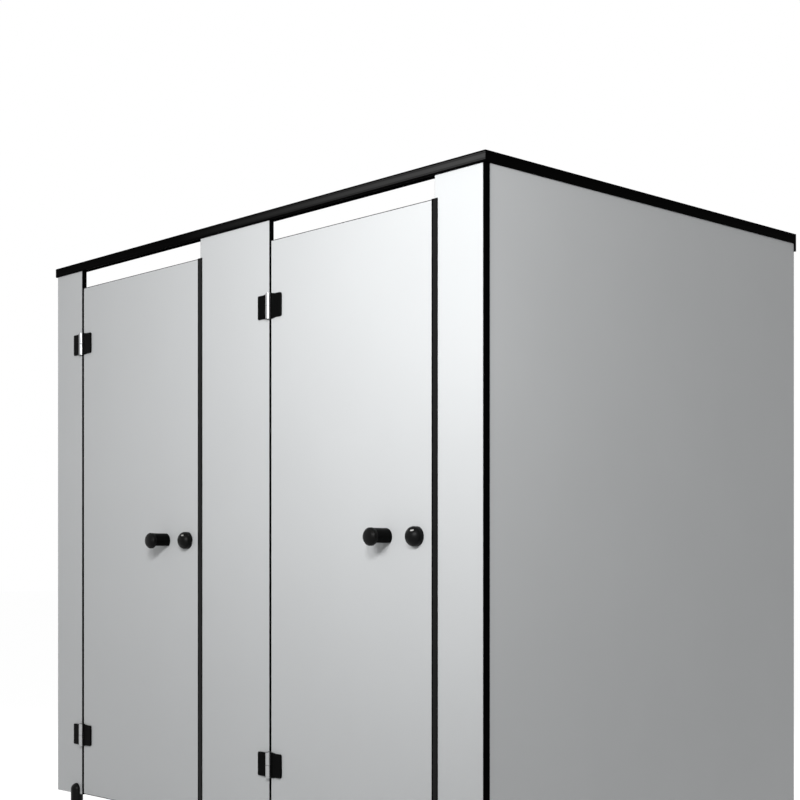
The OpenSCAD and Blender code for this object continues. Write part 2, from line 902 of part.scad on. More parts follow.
module lock_cover(i) {
    outer = cup(dome_r, dome_base, dome_rise);
    inner = cup(dome_r - dome_wall, dome_base + over, dome_rise - dome_wall);
    color(black_nylon) translate([lock_x[i], front_y, handle_z]) difference() {
        union() {
            difference() {
                rotate([90, 0, 0]) rotate_extrude() polygon(outer);
                translate([0, over, 0]) rotate([90, 0, 0]) rotate_extrude() polygon(inner);
            }
            translate([0, boss_in - dome_base, 0]) at_lugs() along_y(boss_r, dome_base - boss_in);
        }
        translate([0, over, 0]) at_lugs() screw_hole(lock_bite + tip_room + over);
        translate([window_x, -dome_base - dome_rise, window_z]) {
            for (x = [-window_half, window_half]) {
                translate([x, 0, 0]) along_y(window_r, dome_rise + 1);
            }
            translate([-window_half, 0, -window_r]) cube([2 * window_half, dome_rise + 1, 2 * window_r]);
        }
    }
}

indicator_gap = 0.8;
indicator_r = dome_r - dome_wall - indicator_gap;
indicator_rise = dome_rise - dome_wall - indicator_gap;
indicator_t = 1.5;
indicator_hub = 8;
hub_start = 4;
hub_end = dome_base + indicator_rise - 0.6;
spindle_out = dome_base + indicator_rise - 3;
spindle_room = 1;
turn_in = 8;

// Thin dome that turns right behind the cover, seen through its window
module indicator(i) {
    outer = dome(indicator_r, dome_base, indicator_rise);
    inner = dome(indicator_r - indicator_t, dome_base, indicator_rise - indicator_t);
    color("#e4e4e2") translate([lock_x[i], front_y, handle_z]) difference() {
        rotate([90, 0, 0]) union() {
            rotate_extrude() polygon(concat(outer, [for (k = [len(inner) - 1:-1:0]) inner[k]]));
            translate([0, 0, hub_start]) cylinder(r = indicator_hub, h = hub_end - hub_start);
        }
        translate([0, -spindle_out, 0]) along_y(spindle_r + run_fit, spindle_out + over);
    }
}

module lock_spindle(i) {
    color(steel) translate([lock_x[i], 0, handle_z]) {
        translate([0, front_y - spindle_out, 0])
            along_y(spindle_r, turn_y + turn_in - front_y + spindle_out);
        translate([0, back_y + slide_fit, 0]) along_y(cam_r, cam_t);
        rotate([0, -45, 0]) translate([0, back_y + cam_t, crank_r]) along_y(crank_pin_r, bolt_t);
    }
}

module thumb_turn(i) {
    arm = wing_len / 2 - wing_w / 2;
    color(black_nylon) translate([lock_x[i], turn_y, handle_z]) difference() {
        union() {
            along_y(hub_r, wing_y - turn_y + eps);
            translate([-wing_w / 2, wing_y - turn_y, -arm]) cube([wing_w, wing_t, 2 * arm]);
            for (z = [-arm, arm]) {
                translate([0, wing_y - turn_y, z]) along_y(wing_w / 2, wing_t);
            }
        }
        translate([0, -over, 0]) along_y(spindle_r + run_fit, turn_in + over + slide_fit);
    }
}

module slide_bolt(i) {
    play = 0.7;
    yoke = crank_pin_r + play;
    yoke_x = -crank_r * sin(45);
    yoke_top = crank_r + crank_pin_r + play;
    color(steel) translate([lock_x[i], bolt_y, handle_z]) difference() {
        translate([bolt_tip - bolt_len, 0, bolt_low]) cube([bolt_len, bolt_t, bolt_h]);
        translate([yoke_x - yoke, -over, 0]) cube([2 * yoke, bolt_t + 2 * over, yoke_top]);
    }
}

module lock_case(i) {
    low = case_h / 2;
    width = case_left + case_right;
    play = 0.25;
    corner = 4;
    shelf = 3;
    shelf_start = cam_r + 2;
    color(black_nylon) translate([lock_x[i], back_y, handle_z]) difference() {
        translate([-case_left, 0, -low]) rotate([90, 0, 0]) mirror([0, 0, 1])
            linear_extrude(case_d) chamfered(width, case_h, corner);
        difference() {
            translate([-case_left + case_wall, -over, -low + case_wall])
                cube([width - 2 * case_wall, case_d - case_wall + over, case_h - 2 * case_wall]);
            // a shelf under the bolt and one over it keep it level
            translate([shelf_start, -2 * over, bolt_low - play - shelf]) cube([case_right, case_d, shelf]);
            translate([-case_left, -2 * over, bolt_low + bolt_h + play]) cube([width, case_d, shelf]);
        }
        translate([case_right - 2 * case_wall, bolt_y - back_y - play, bolt_low - play])
            cube([3 * case_wall, bolt_t + 2 * play, bolt_h + 2 * play]);
        along_y(spindle_r + run_fit, case_d + over);
        translate([0, -over, 0]) at_lugs() along_y(screw_r + screw_fit, case_d + 2 * over);
    }
}

pilaster_left();
pilaster_middle();
pilaster_right();
end_panel_left();
end_panel_right();
partition_middle();
headrail_front();
headrail_return();
headrail_corner_key();
headrail_end_cap();
headrail_wall_plate();
corner_trim();
corner_brackets();
wall_brackets();
frame_screws();
foot_posts();
foot_studs();
foot_lock_nuts();
foot_flanges();
foot_screws();
hinge_covers_fixed();
hinge_knuckles_fixed();
hinge_pins();
hinge_plates_fixed();
hinge_screws_fixed();
keepers();
door(0);  // door_left
door(1);  // door_right
closing_strip(0);  // closing_strip_left
closing_strip(1);  // closing_strip_right
hinge_covers(0);  // hinge_covers_left
hinge_covers(1);  // hinge_covers_right
hinge_knuckles(0);  // hinge_knuckles_left
hinge_knuckles(1);  // hinge_knuckles_right
hinge_plates(0);  // hinge_plates_left
hinge_plates(1);  // hinge_plates_right
door_screws(0);  // door_screws_left
door_screws(1);  // door_screws_right
knob_neck(0);  // knob_neck_left
knob_neck(1);  // knob_neck_right
knob_end(0);  // knob_end_left
knob_end(1);  // knob_end_right
knob_rose(0);  // knob_rose_left
knob_rose(1);  // knob_rose_right
knob_bolt(0);  // knob_bolt_left
knob_bolt(1);  // knob_bolt_right
lock_cover(0);  // lock_cover_left
lock_cover(1);  // lock_cover_right
lock_case(0);  // lock_case_left
lock_case(1);  // lock_case_right
indicator(0);  // indicator_left
indicator(1);  // indicator_right
lock_spindle(0);  // lock_spindle_left
lock_spindle(1);  // lock_spindle_right
thumb_turn(0);  // thumb_turn_left
thumb_turn(1);  // thumb_turn_right
slide_bolt(0);  // slide_bolt_left
slide_bolt(1);  // slide_bolt_right
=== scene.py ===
"""Looks of a row of two toilet cubicles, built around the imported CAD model.

Boards, extrusions, moulded parts and fasteners are remade here with their rounded edges, grooves, windows,
threads and recesses, in the same places as the solids they stand for. Parts with nothing to add keep their
solids and get a finish.
"""

import json
import logging
import math
from dataclasses import dataclass, replace
from enum import Enum
from typing import Any, Callable

import bmesh
import bpy
from mathutils import Matrix, Vector

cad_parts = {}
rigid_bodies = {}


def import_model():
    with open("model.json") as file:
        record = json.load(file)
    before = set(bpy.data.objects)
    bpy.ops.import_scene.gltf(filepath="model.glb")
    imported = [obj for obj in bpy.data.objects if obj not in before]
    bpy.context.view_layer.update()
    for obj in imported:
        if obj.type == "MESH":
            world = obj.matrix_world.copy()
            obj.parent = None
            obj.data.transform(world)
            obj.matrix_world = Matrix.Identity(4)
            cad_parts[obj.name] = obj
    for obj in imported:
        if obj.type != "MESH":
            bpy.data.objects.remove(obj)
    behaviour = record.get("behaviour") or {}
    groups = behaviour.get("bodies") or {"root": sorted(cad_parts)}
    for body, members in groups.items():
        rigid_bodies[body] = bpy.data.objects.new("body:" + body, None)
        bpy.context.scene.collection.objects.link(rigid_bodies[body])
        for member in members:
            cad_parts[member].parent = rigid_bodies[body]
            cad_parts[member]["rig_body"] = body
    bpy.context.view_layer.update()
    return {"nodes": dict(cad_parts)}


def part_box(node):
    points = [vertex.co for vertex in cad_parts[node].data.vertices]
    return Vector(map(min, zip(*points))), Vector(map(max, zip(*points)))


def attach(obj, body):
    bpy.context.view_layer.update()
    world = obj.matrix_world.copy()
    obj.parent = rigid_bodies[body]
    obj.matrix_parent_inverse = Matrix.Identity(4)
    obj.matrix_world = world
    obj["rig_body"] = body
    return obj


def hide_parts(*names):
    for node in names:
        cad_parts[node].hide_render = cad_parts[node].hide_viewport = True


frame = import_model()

MM = 0.001
SIDES = ("left", "right")
FRAME_BODY = "frame"
Outline = list[tuple[float, float]]
GRAIN_LOW, GRAIN_HIGH = 0.3, 0.7
ON_AXIS = 1e-9
MERGE_DISTANCE = 0.002 * MM
BOARD_MERGE_DISTANCE = 0.01 * MM
FLAT_ANGLE = math.radians(0.4)
SHARP_ANGLE = math.radians(30)
BEVEL_ANGLE = math.radians(32)
log = logging.getLogger("cubicles")


def hex_to_linear(code: str) -> tuple[float, float, float, float]:
    """Turns an sRGB colour into the linear one that shaders use.

    Args:
        code: The colour as #rrggbb.

    Returns:
        Red, green, blue and alpha.
    """
    parts = [int(code[i:i + 2], 16) / 255 for i in (1, 3, 5)]
    linear = [c / 12.92 if c <= 0.04045 else ((c + 0.055) / 1.055) ** 2.4 for c in parts]
    return (linear[0], linear[1], linear[2], 1.0)


def add_node(tree: bpy.types.NodeTree, kind: str, inputs: dict[Any, Any] | None = None,
             **settings: Any) -> bpy.types.Node:
    """Adds a node with its settings and links.

    Args:
        tree: The tree that gets the node.
        kind: The node's type name.
        inputs: Socket names or numbers, each with a value or with the output socket that it is linked to.
        settings: The node's own properties.

    Returns:
        The new node.
    """
    node = tree.nodes.new(kind)
    for name, value in settings.items():
        setattr(node, name, value)
    for key, value in (inputs or {}).items():
        if isinstance(value, bpy.types.NodeSocket):
            tree.links.new(value, node.inputs[key])
        else:
            node.inputs[key].default_value = value
    return node


def calculated(tree: bpy.types.NodeTree, operation: str, first: Any,
               second: Any = 0.0) -> bpy.types.NodeSocket:
    """Adds a Math node.

    Args:
        tree: The tree that gets the node.
        operation: The Math node's operation.
        first: A number or a socket.
        second: A number or a socket, not used by an operation on one number.

    Returns:
        The socket with the result.
    """
    return add_node(tree, "ShaderNodeMath", {0: first, 1: second}, operation=operation).outputs[0]


class Axis(Enum):
    """A row axis, as its place in a vector."""

    X = 0
    Y = 1
    Z = 2


@dataclass(frozen=True)
class Finish:
    """A surface finish: a base colour with broad variation, and a fine grain in roughness and relief."""

    name: str
    colour: str
    roughness: float
    metallic: float = 0.0
    specular: float = 0.5
    grain_mm: tuple[float, float, float] = (2.0, 2.0, 2.0)
    grain_depth_mm: float = 0.05
    grain_strength: float = 0.3
    roughness_spread: float = 0.08
    cloud_mm: float = 120.0
    cloud: float = 0.04

    def material(self) -> bpy.types.Material:
        """Returns the finish's material, made on the first call."""
        found = bpy.data.materials.get(self.name)
        if found:
            return found
        material = bpy.data.materials.new(self.name)
        material.use_nodes = True
        tree = material.node_tree
        tree.nodes.clear()
        place = add_node(tree, "ShaderNodeTexCoord")
        scale = tuple(1 / (MM * size) for size in self.grain_mm)
        grain_place = add_node(tree, "ShaderNodeMapping",
                               {"Vector": place.outputs["Object"], "Scale": scale})
        grain = add_node(tree, "ShaderNodeTexNoise",
                         {"Vector": grain_place.outputs[0], "Scale": 1.0, "Detail": 3.0, "Roughness": 0.55})
        rough = add_node(tree, "ShaderNodeMapRange", {
            "Value": grain.outputs[0], "From Min": GRAIN_LOW, "From Max": GRAIN_HIGH,
            "To Min": self.roughness - self.roughness_spread,
            "To Max": self.roughness + self.roughness_spread})
        bump = add_node(tree, "ShaderNodeBump", {
            "Height": grain.outputs[0], "Strength": self.grain_strength,
            "Distance": self.grain_depth_mm * MM})
        shader = add_node(tree, "ShaderNodeBsdfPrincipled", {
            "Base Color": self.colour_socket(tree, place), "Roughness": rough.outputs[0],
            "Normal": bump.outputs[0], "Metallic": self.metallic,
            "Specular IOR Level": self.specular_socket(tree, place)})
        add_node(tree, "ShaderNodeOutputMaterial", {"Surface": shader.outputs[0]})
        material.diffuse_color = hex_to_linear(self.colour)
        return material

    def clouded(self, tree: bpy.types.NodeTree, place: bpy.types.Node, code: str) -> bpy.types.NodeSocket:
        """Varies a colour in broad clouds.

        Args:
            tree: The material's tree.
            place: Its Texture Coordinate node.
            code: The colour as #rrggbb.

        Returns:
            The socket with the varied colour.
        """
        clouds = add_node(tree, "ShaderNodeTexNoise", {
            "Vector": place.outputs["Object"], "Scale": 1 / (MM * self.cloud_mm), "Detail": 2.0})
        base = hex_to_linear(code)
        dark = tuple(c * (1 - self.cloud) for c in base[:3]) + (1.0,)
        light = tuple(min(1.0, c * (1 + self.cloud)) for c in base[:3]) + (1.0,)
        mixed = add_node(tree, "ShaderNodeMix", {0: clouds.outputs[0], 6: dark, 7: light}, data_type="RGBA")
        return mixed.outputs[2]

    def colour_socket(self, tree: bpy.types.NodeTree, place: bpy.types.Node) -> bpy.types.NodeSocket:
        """Returns the base colour's socket."""
        return self.clouded(tree, place, self.colour)

    def specular_socket(self, tree: bpy.types.NodeTree,
                        place: bpy.types.Node) -> bpy.types.NodeSocket | float:
        """Returns the sheen's level, or the socket that gives it."""
        return self.specular


@dataclass(frozen=True)
class LaminateFinish(Finish):
    """A board finish: pale paper faces on both sides and a dark core at every edge, chamfer and hole."""

    core: str = "#040404"
    core_specular: float = 0.01
    face_axis: Axis = Axis.Y
    flat_from: float = 0.99

    def is_face(self, tree: bpy.types.NodeTree, place: bpy.types.Node) -> bpy.types.NodeSocket:
        """Returns a socket that is 1 where the surface looks along the board's thickness."""
        parts = add_node(tree, "ShaderNodeSeparateXYZ", {0: place.outputs["Normal"]})
        size = calculated(tree, "ABSOLUTE", parts.outputs[self.face_axis.value])
        return calculated(tree, "GREATER_THAN", size, self.flat_from)

    def colour_socket(self, tree: bpy.types.NodeTree, place: bpy.types.Node) -> bpy.types.NodeSocket:
        """Returns the face colour on the faces and the core's elsewhere."""
        mixed = add_node(tree, "ShaderNodeMix", {
            0: self.is_face(tree, place), 6: self.clouded(tree, place, self.core),
            7: self.clouded(tree, place, self.colour)}, data_type="RGBA")
        return mixed.outputs[2]

    def specular_socket(self, tree: bpy.types.NodeTree,
                        place: bpy.types.Node) -> bpy.types.NodeSocket | float:
        """Returns the faces' sheen, and nearly none on the core."""
        level = add_node(tree, "ShaderNodeMapRange", {
            "Value": self.is_face(tree, place), "To Min": self.core_specular, "To Max": self.specular})
        return level.outputs[0]


@dataclass(frozen=True)
class PaintedSheenFinish(Finish):
    """A finish for a hollow band with a painted highlight: its colour grows paler along the row and towards
    the band's middle.
    """

    pale: str = "#3c3c3c"
    dark_at: float = -0.3
    pale_at: float = 1.0
    steep: float = 0.19
    level: float = 0.06

    def colour_socket(self, tree: bpy.types.NodeTree, place: bpy.types.Node) -> bpy.types.NodeSocket:
        """Returns the colour with its painted highlight, mixed in by the place along X and by how level the
        hollow is.
        """
        spot = add_node(tree, "ShaderNodeSeparateXYZ", {0: place.outputs["Object"]})
        along = add_node(tree, "ShaderNodeMapRange", {
            "Value": spot.outputs[0], "From Min": self.dark_at, "From Max": self.pale_at})
        facing = add_node(tree, "ShaderNodeSeparateXYZ", {0: place.outputs["Normal"]})
        across = add_node(tree, "ShaderNodeMapRange", {
            "Value": calculated(tree, "ABSOLUTE", facing.outputs[2]), "From Min": self.steep,
            "From Max": self.level}, interpolation_type="SMOOTHSTEP")
        # Painted highlight: paler towards the row's corner and the middle of the hollow.
        painted_sheen_amount = calculated(tree, "MULTIPLY", along.outputs[0], across.outputs[0])
        mixed = add_node(tree, "ShaderNodeMix", {
            0: painted_sheen_amount, 6: self.clouded(tree, place, self.colour),
            7: self.clouded(tree, place, self.pale)}, data_type="RGBA")
        return mixed.outputs[2]


# Compact high-pressure laminate, pressed with a fine satin texture: soft wide highlights. The real pits are
# about 0.6 mm across, drawn at 4 mm because finer ones don't show. The clouds are its slight unevenness.
FRONT_LAMINATE = LaminateFinish("satin_compact_laminate_fronts", "#d3d5d6", 0.42, specular=0.4,
                                grain_mm=(4, 4, 4), grain_depth_mm=0.03, grain_strength=0.25,
                                roughness_spread=0.05, cloud_mm=260, cloud=0.02, face_axis=Axis.Y)
SIDE_LAMINATE = replace(FRONT_LAMINATE, name="satin_compact_laminate_panels", cloud=0.025, face_axis=Axis.X)
# Extruded aluminium, anodised black: nearly no sheen, with fine lines along the run of each profile.
ANODISED_X = Finish("black_anodised_aluminium_along_x", "#030303", 0.5, specular=0.005,
                    grain_mm=(400, 1.5, 1.5), grain_depth_mm=0.06, roughness_spread=0.07, cloud_mm=300,
                    cloud=0.2)
ANODISED_Y = replace(ANODISED_X, name="black_anodised_aluminium_along_y", grain_mm=(1.5, 400, 1.5))
ANODISED_Z = replace(ANODISED_X, name="black_anodised_aluminium_along_z", grain_mm=(1.5, 1.5, 400))
# The hollow band between a rail's lips is polished before it is anodised. Its dark-grey sheen near the row's
# corner, dying away along it, is a painted highlight: a white room would light it evenly, so the colour
# fades.
PAINTED_SHEEN_BAND = PaintedSheenFinish("black_aluminium_band_painted_sheen", "#030303", 0.42, specular=0.005,
                          grain_mm=(250, 250, 1.5), grain_depth_mm=0.05, roughness_spread=0.06,
                          cloud_mm=400, cloud=0.1)
# Soft seal pressed into a closing strip: a little more sheen than the strip, with faint lines along its run.
SEAL = Finish("black_extruded_seal", "#0c0c0c", 0.45, specular=0.1, grain_mm=(2, 2, 300),
              grain_depth_mm=0.05, cloud_mm=200, cloud=0.15)
# Glass-filled nylon from a polished mould: deep black, a small sheen, with a slight orange peel.
NYLON = Finish("glossy_black_moulded_nylon", "#030303", 0.34, specular=0.035, grain_mm=(3, 3, 3),
               grain_depth_mm=0.04, grain_strength=0.25, roughness_spread=0.05, cloud_mm=60, cloud=0.15)
# The same nylon from a satin mould, on the parts a hand touches and the feet: a wider, softer highlight.
SATIN_NYLON = replace(NYLON, name="satin_black_moulded_nylon", roughness=0.38, specular=0.11,
                      grain_depth_mm=0.03, grain_strength=0.2, roughness_spread=0.04)
# The same nylon from an eroded mould, on the hinge covers: fine spark texture, softer highlights.
TEXTURED_NYLON = Finish("textured_black_moulded_nylon", "#030303", 0.42, specular=0.02,
                        grain_mm=(1.2, 1.2, 1.2), grain_depth_mm=0.05, cloud_mm=40, cloud=0.2)
# Stainless steel, ground fine and matt: an even light grey that brightens towards the lamps.
BRUSHED_STEEL = Finish("ground_stainless_steel", "#a9aaab", 0.38, metallic=1.0, grain_mm=(60, 60, 0.8),
                       grain_depth_mm=0.01, grain_strength=0.2, roughness_spread=0.05, cloud_mm=50)
# Zinc-plated steel on screws, studs and nuts: slightly blue and a little blotchy.
ZINC = Finish("zinc_plated_steel", "#b4b8bd", 0.33, metallic=1.0, grain_mm=(1.5, 1.5, 1.5),
              grain_depth_mm=0.03, roughness_spread=0.1, cloud_mm=8, cloud=0.12)
# Phosphated steel on the hinge pins, dark grey; also painted shade on the knuckles' faces at the barrel's
# split.
DARK_STEEL_AND_SPLIT_SHADE = Finish("phosphated_steel_and_painted_split_shade", "#2b2c2e", 0.5, specular=0.2, grain_mm=(1.5, 1.5, 1.5),
                    grain_depth_mm=0.03, cloud_mm=10, cloud=0.1)
# Sheet steel, powder coated black, on the brackets and the wall plate: a fine orange peel.
POWDER_COAT = Finish("black_powder_coated_steel", "#0a0a0b", 0.5, specular=0.1, grain_depth_mm=0.06,
                     grain_strength=0.4, cloud_mm=80, cloud=0.1)
# Moulded ABS of the indicator: pale where the lock is open and red where it is shut.
PALE_ABS = Finish("pale_moulded_abs", "#c9c9c6", 0.3, grain_depth_mm=0.02, cloud_mm=20, cloud=0.02)
RED_ABS = replace(PALE_ABS, name="red_moulded_abs", colour="#b3201f", cloud=0.03)


def shown(name: str, data: bpy.types.ID) -> bpy.types.Object:
    """Makes an object of some data and puts it in the scene."""
    thing = bpy.data.objects.new(name, data)
    bpy.context.scene.collection.objects.link(thing)
    return thing


def settled(carrier: bpy.types.Object) -> bpy.types.Mesh:
    """Returns an object's mesh with its modifiers applied, and removes the object."""
    graph = bpy.context.evaluated_depsgraph_get()
    mesh = bpy.data.meshes.new_from_object(carrier.evaluated_get(graph), depsgraph=graph)
    bpy.data.objects.remove(carrier)
    return mesh


def new_piece(name: str, mesh: bpy.types.Mesh, body: str, finishes: list[Finish],
              replaced: tuple[str, ...], smooth_deg: float | None = 35.0) -> bpy.types.Object:
    """Makes a piece of the object that rides on a body, at the origin and with its place in its mesh.

    Args:
        name: The piece's name.
        mesh: Its mesh, in metres in the row frame.
        body: The CAD body it rides on.
        finishes: One finish for each material number in the mesh.
        replaced: The CAD nodes it stands for.
        smooth_deg: Edges that bend more than this stay sharp, or None where the mesh has its own normals.

    Returns:
        The new object.
    """
    if mesh.materials:  # on a mesh with none, clearing would also reset its faces' material numbers
        mesh.materials.clear()
    for finish in finishes:
        mesh.materials.append(finish.material())
    if smooth_deg is not None:
        mesh.shade_smooth()
        mesh.set_sharp_from_angle(angle=math.radians(smooth_deg))
    piece = shown(name, mesh)
    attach(piece, body)
    if replaced:
        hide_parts(*replaced)
    log.info("%s: %d faces on %s", name, len(mesh.polygons), body)
    return piece


def body_of(node: str) -> str:
    """Returns the name of the CAD body that a node belongs to."""
    return frame["nodes"][node]["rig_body"]


def dress(node: str, finish: Finish) -> None:
    """Gives a CAD node that keeps its own shape its finish."""
    mesh = frame["nodes"][node].data
    mesh.materials.clear()
    mesh.materials.append(finish.material())
    log.info("%s keeps its solid, in %s", node, finish.name)


def mesh_from(bm: bmesh.types.BMesh, name: str) -> bpy.types.Mesh:
    """Turns a bmesh into a mesh and frees it."""
    mesh = bpy.data.meshes.new(name)
    bm.to_mesh(mesh)
    bm.free()
    return mesh


def merged_copy(node: str) -> bmesh.types.BMesh:
    """Returns a merged copy of a CAD node's loose triangles, with its flat faces in one piece."""
    bm = bmesh.new()
    bm.from_mesh(frame["nodes"][node].data)
    bmesh.ops.remove_doubles(bm, verts=bm.verts, dist=MERGE_DISTANCE)
    bmesh.ops.dissolve_limit(bm, angle_limit=FLAT_ANGLE, verts=bm.verts, edges=bm.edges)
    return bm


def rounded(mesh: bpy.types.Mesh, width_mm: float, segments: int, limit: str) -> bpy.types.Mesh:
    """Rounds edges of a mesh and keeps the shading of its flat faces flat.

    Args:
        mesh: The mesh, with its edges still sharp.
        width_mm: Width of the rounding.
        segments: Faces across the rounding.
        limit: ANGLE for every edge that bends, or WEIGHT for the edges with a bevel weight.

    Returns:
        A new mesh.
    """
    mesh.shade_smooth()
    mesh.set_sharp_from_angle(angle=SHARP_ANGLE)
    scratch = shown("scratch", mesh)
    bevel = scratch.modifiers.new("rounding", "BEVEL")
    bevel.width, bevel.segments, bevel.limit_method = width_mm * MM, segments, limit
    bevel.angle_limit = BEVEL_ANGLE
    bevel.harden_normals = True
    return settled(scratch)


def soften(node: str, finish: Finish, width_mm: float, segments: int = 3) -> bpy.types.Object:
    """Replaces a CAD node by the same shape with rounded edges, as a moulded or deburred piece has.

    Args:
        node: The CAD node.
        finish: The piece's finish.
        width_mm: Width of the rounding.
        segments: Faces across the rounding.

    Returns:
        The new object.
    """
    mesh = rounded(mesh_from(merged_copy(node), "scratch"), width_mm, segments, "ANGLE")
    low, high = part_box(node)
    for vert in mesh.vertices:
        vert.co = [min(max(vert.co[k], low[k]), high[k]) for k in range(3)]
    return new_piece(f"{node}_rounded", mesh, body_of(node), [finish], (node,), None)


def revolved(outline: Outline, place: Matrix, segments: int = 96) -> bpy.types.Mesh:
    """Turns an outline about the Z axis and moves it to its place.

    Args:
        outline: Radius and height of each point in metres, upwards along the outside.
        place: Matrix from the turned shape to the row frame.
        segments: Faces round the axis.

    Returns:
        The closed mesh.
    """
    bm = bmesh.new()
    rings = []
    for radius, height in outline:
        if radius < ON_AXIS:
            rings.append([bm.verts.new((0, 0, height))] * segments)
            continue
        turns = [2 * math.pi * i / segments for i in range(segments)]
        rings.append([bm.verts.new((radius * math.cos(a), radius * math.sin(a), height)) for a in turns])
    for low, high in zip(rings, rings[1:]):
        for i in range(segments):
            j = (i + 1) % segments
            corners = list(dict.fromkeys([low[i], low[j], high[j], high[i]]))
            if len(corners) > 2:
                bm.faces.new(corners)
    bmesh.ops.recalc_face_normals(bm, faces=bm.faces)
    bm.transform(place)
    return mesh_from(bm, "revolved")


def lofted(outline: Outline, start: Callable[[float, float], Vector], end: Callable[[float, float], Vector],
           finish_numbers: dict[int, int] | None = None) -> bpy.types.Mesh:
    """Joins an outline at a start to the same outline at an end, with both ends closed.

    Args:
        outline: The section's points, in metres.
        start: Gives a point of the section its place at the start.
        end: Gives it its place at the end.
        finish_numbers: Material numbers of sides, by the number of the side's first point.

    Returns:
        The closed mesh.
    """
    bm = bmesh.new()
    first = [bm.verts.new(start(*point)) for point in outline]
    last = [bm.verts.new(end(*point)) for point in outline]
    count = len(outline)
    for i in range(count):
        j = (i + 1) % count
        side = bm.faces.new([first[i], first[j], last[j], last[i]])
        side.material_index = (finish_numbers or {}).get(i, 0)
    bm.faces.new(first)
    bm.faces.new(last)
    bmesh.ops.recalc_face_normals(bm, faces=bm.faces)
    bmesh.ops.triangulate(bm, faces=[f for f in bm.faces if len(f.verts) > 4])
    return mesh_from(bm, "lofted")


def arc(centre: tuple[float, float], radii: tuple[float, float], start_deg: float, end_deg: float,
        steps: int) -> Outline:
    """Returns points on an arc of an ellipse, both ends included."""
    angles = [math.radians(start_deg + (end_deg - start_deg) * i / steps) for i in range(steps + 1)]
    return [(centre[0] + radii[0] * math.cos(a), centre[1] + radii[1] * math.sin(a)) for a in angles]


def outward(x: float, y: float, z: float) -> Matrix:
    """Returns the matrix that stands a turned shape on a front face, with its Z axis pointing out of it."""
    return Matrix.Translation((x, y, z)) @ Matrix.Rotation(math.radians(90), 4, "X")


def new_tree(name: str, sizes: tuple[str, ...]) -> tuple[bpy.types.NodeTree, bpy.types.Node]:
    """Starts a Geometry Nodes tree with points as its input.

    Args:
        name: The tree's name.
        sizes: The names of its sizes in metres, each an input of the tree.

    Returns:
        The tree and its Group Input node.
    """
    tree = bpy.data.node_groups.new(name, "GeometryNodeTree")
    tree.interface.new_socket(name="Places", in_out="INPUT", socket_type="NodeSocketGeometry")
    for label in sizes:
        tree.interface.new_socket(name=label, in_out="INPUT", socket_type="NodeSocketFloat")
    tree.interface.new_socket(name="Material", in_out="INPUT", socket_type="NodeSocketMaterial")
    tree.interface.new_socket(name="Geometry", in_out="OUTPUT", socket_type="NodeSocketGeometry")
    return tree, add_node(tree, "NodeGroupInput")


def lifted(tree: bpy.types.NodeTree, shape: bpy.types.Node, height: Any) -> bpy.types.Node:
    """Adds the nodes that move a shape up along its Z axis.

    Args:
        tree: The Geometry Nodes tree.
        shape: The node that makes the shape.
        height: A number or a socket.

    Returns:
        The node with the moved shape.
    """
    way = add_node(tree, "ShaderNodeCombineXYZ", {2: height})
    return add_node(tree, "GeometryNodeTransform",
                    {"Geometry": shape.outputs[0], "Translation": way.outputs[0]})


def both_of(tree: bpy.types.NodeTree, first: bpy.types.Node, second: bpy.types.Node) -> bpy.types.Node:
    """Adds the nodes that keep what two closed shapes share."""
    shared = add_node(tree, "GeometryNodeMeshBoolean", operation="INTERSECT", solver="EXACT")
    for shape in (first, second):
        tree.links.new(shape.outputs[0], shared.inputs["Mesh 2"])
    return shared


def cut_from(tree: bpy.types.NodeTree, shape: bpy.types.Node, cutter: bpy.types.Node) -> bpy.types.Node:
    """Adds the nodes that cut one closed shape from another."""
    rest = add_node(tree, "GeometryNodeMeshBoolean", {"Mesh 1": shape.outputs[0]}, operation="DIFFERENCE",
                    solver="EXACT")
    tree.links.new(cutter.outputs[0], rest.inputs["Mesh 2"])
    return rest


def set_on_points(tree: bpy.types.NodeTree, places: bpy.types.NodeSocket, shape: bpy.types.Node,
                  **inputs: bpy.types.NodeSocket) -> bpy.types.NodeSocket:
    """Adds the node that sets a shape on every point, with its Rotation or Scale as inputs."""
    return add_node(tree, "GeometryNodeInstanceOnPoints",
                    {"Points": places, "Instance": shape.outputs[0], **inputs}).outputs[0]


def close_tree(tree: bpy.types.NodeTree, given: bpy.types.Node, parts: list[bpy.types.NodeSocket]) -> None:
    """Ends a tree: joins its parts, makes the instances real and gives them the material."""
    join = add_node(tree, "GeometryNodeJoinGeometry")
    for part in parts:
        tree.links.new(part, join.inputs[0])
    real = add_node(tree, "GeometryNodeRealizeInstances", {0: join.outputs[0]})
    dressed = add_node(tree, "GeometryNodeSetMaterial",
                       {"Geometry": real.outputs[0], "Material": given.outputs["Material"]})
    add_node(tree, "NodeGroupOutput", {0: dressed.outputs[0]})


def grown(tree: bpy.types.NodeTree, places: bpy.types.Mesh, sizes: dict[str, float],
          finish: Finish) -> bpy.types.Mesh:
    """Runs a tree on points and returns the result as a plain mesh.

    Args:
        tree: The Geometry Nodes tree.
        places: A mesh whose points are the places, with any attributes that the tree reads.
        sizes: The tree's named inputs, in metres.
        finish: The finish that its Material input gets.

    Returns:
        The plain mesh.
    """
    carrier = shown("carrier", places)
    modifier = carrier.modifiers.new("tree", "NODES")
    modifier.node_group = tree
    values: dict[str, Any] = {**sizes, "Material": finish.material()}
    for socket in tree.interface.items_tree:
        if socket.in_out == "INPUT" and socket.name in values:
            modifier[socket.identifier] = values[socket.name]
    return settled(carrier)


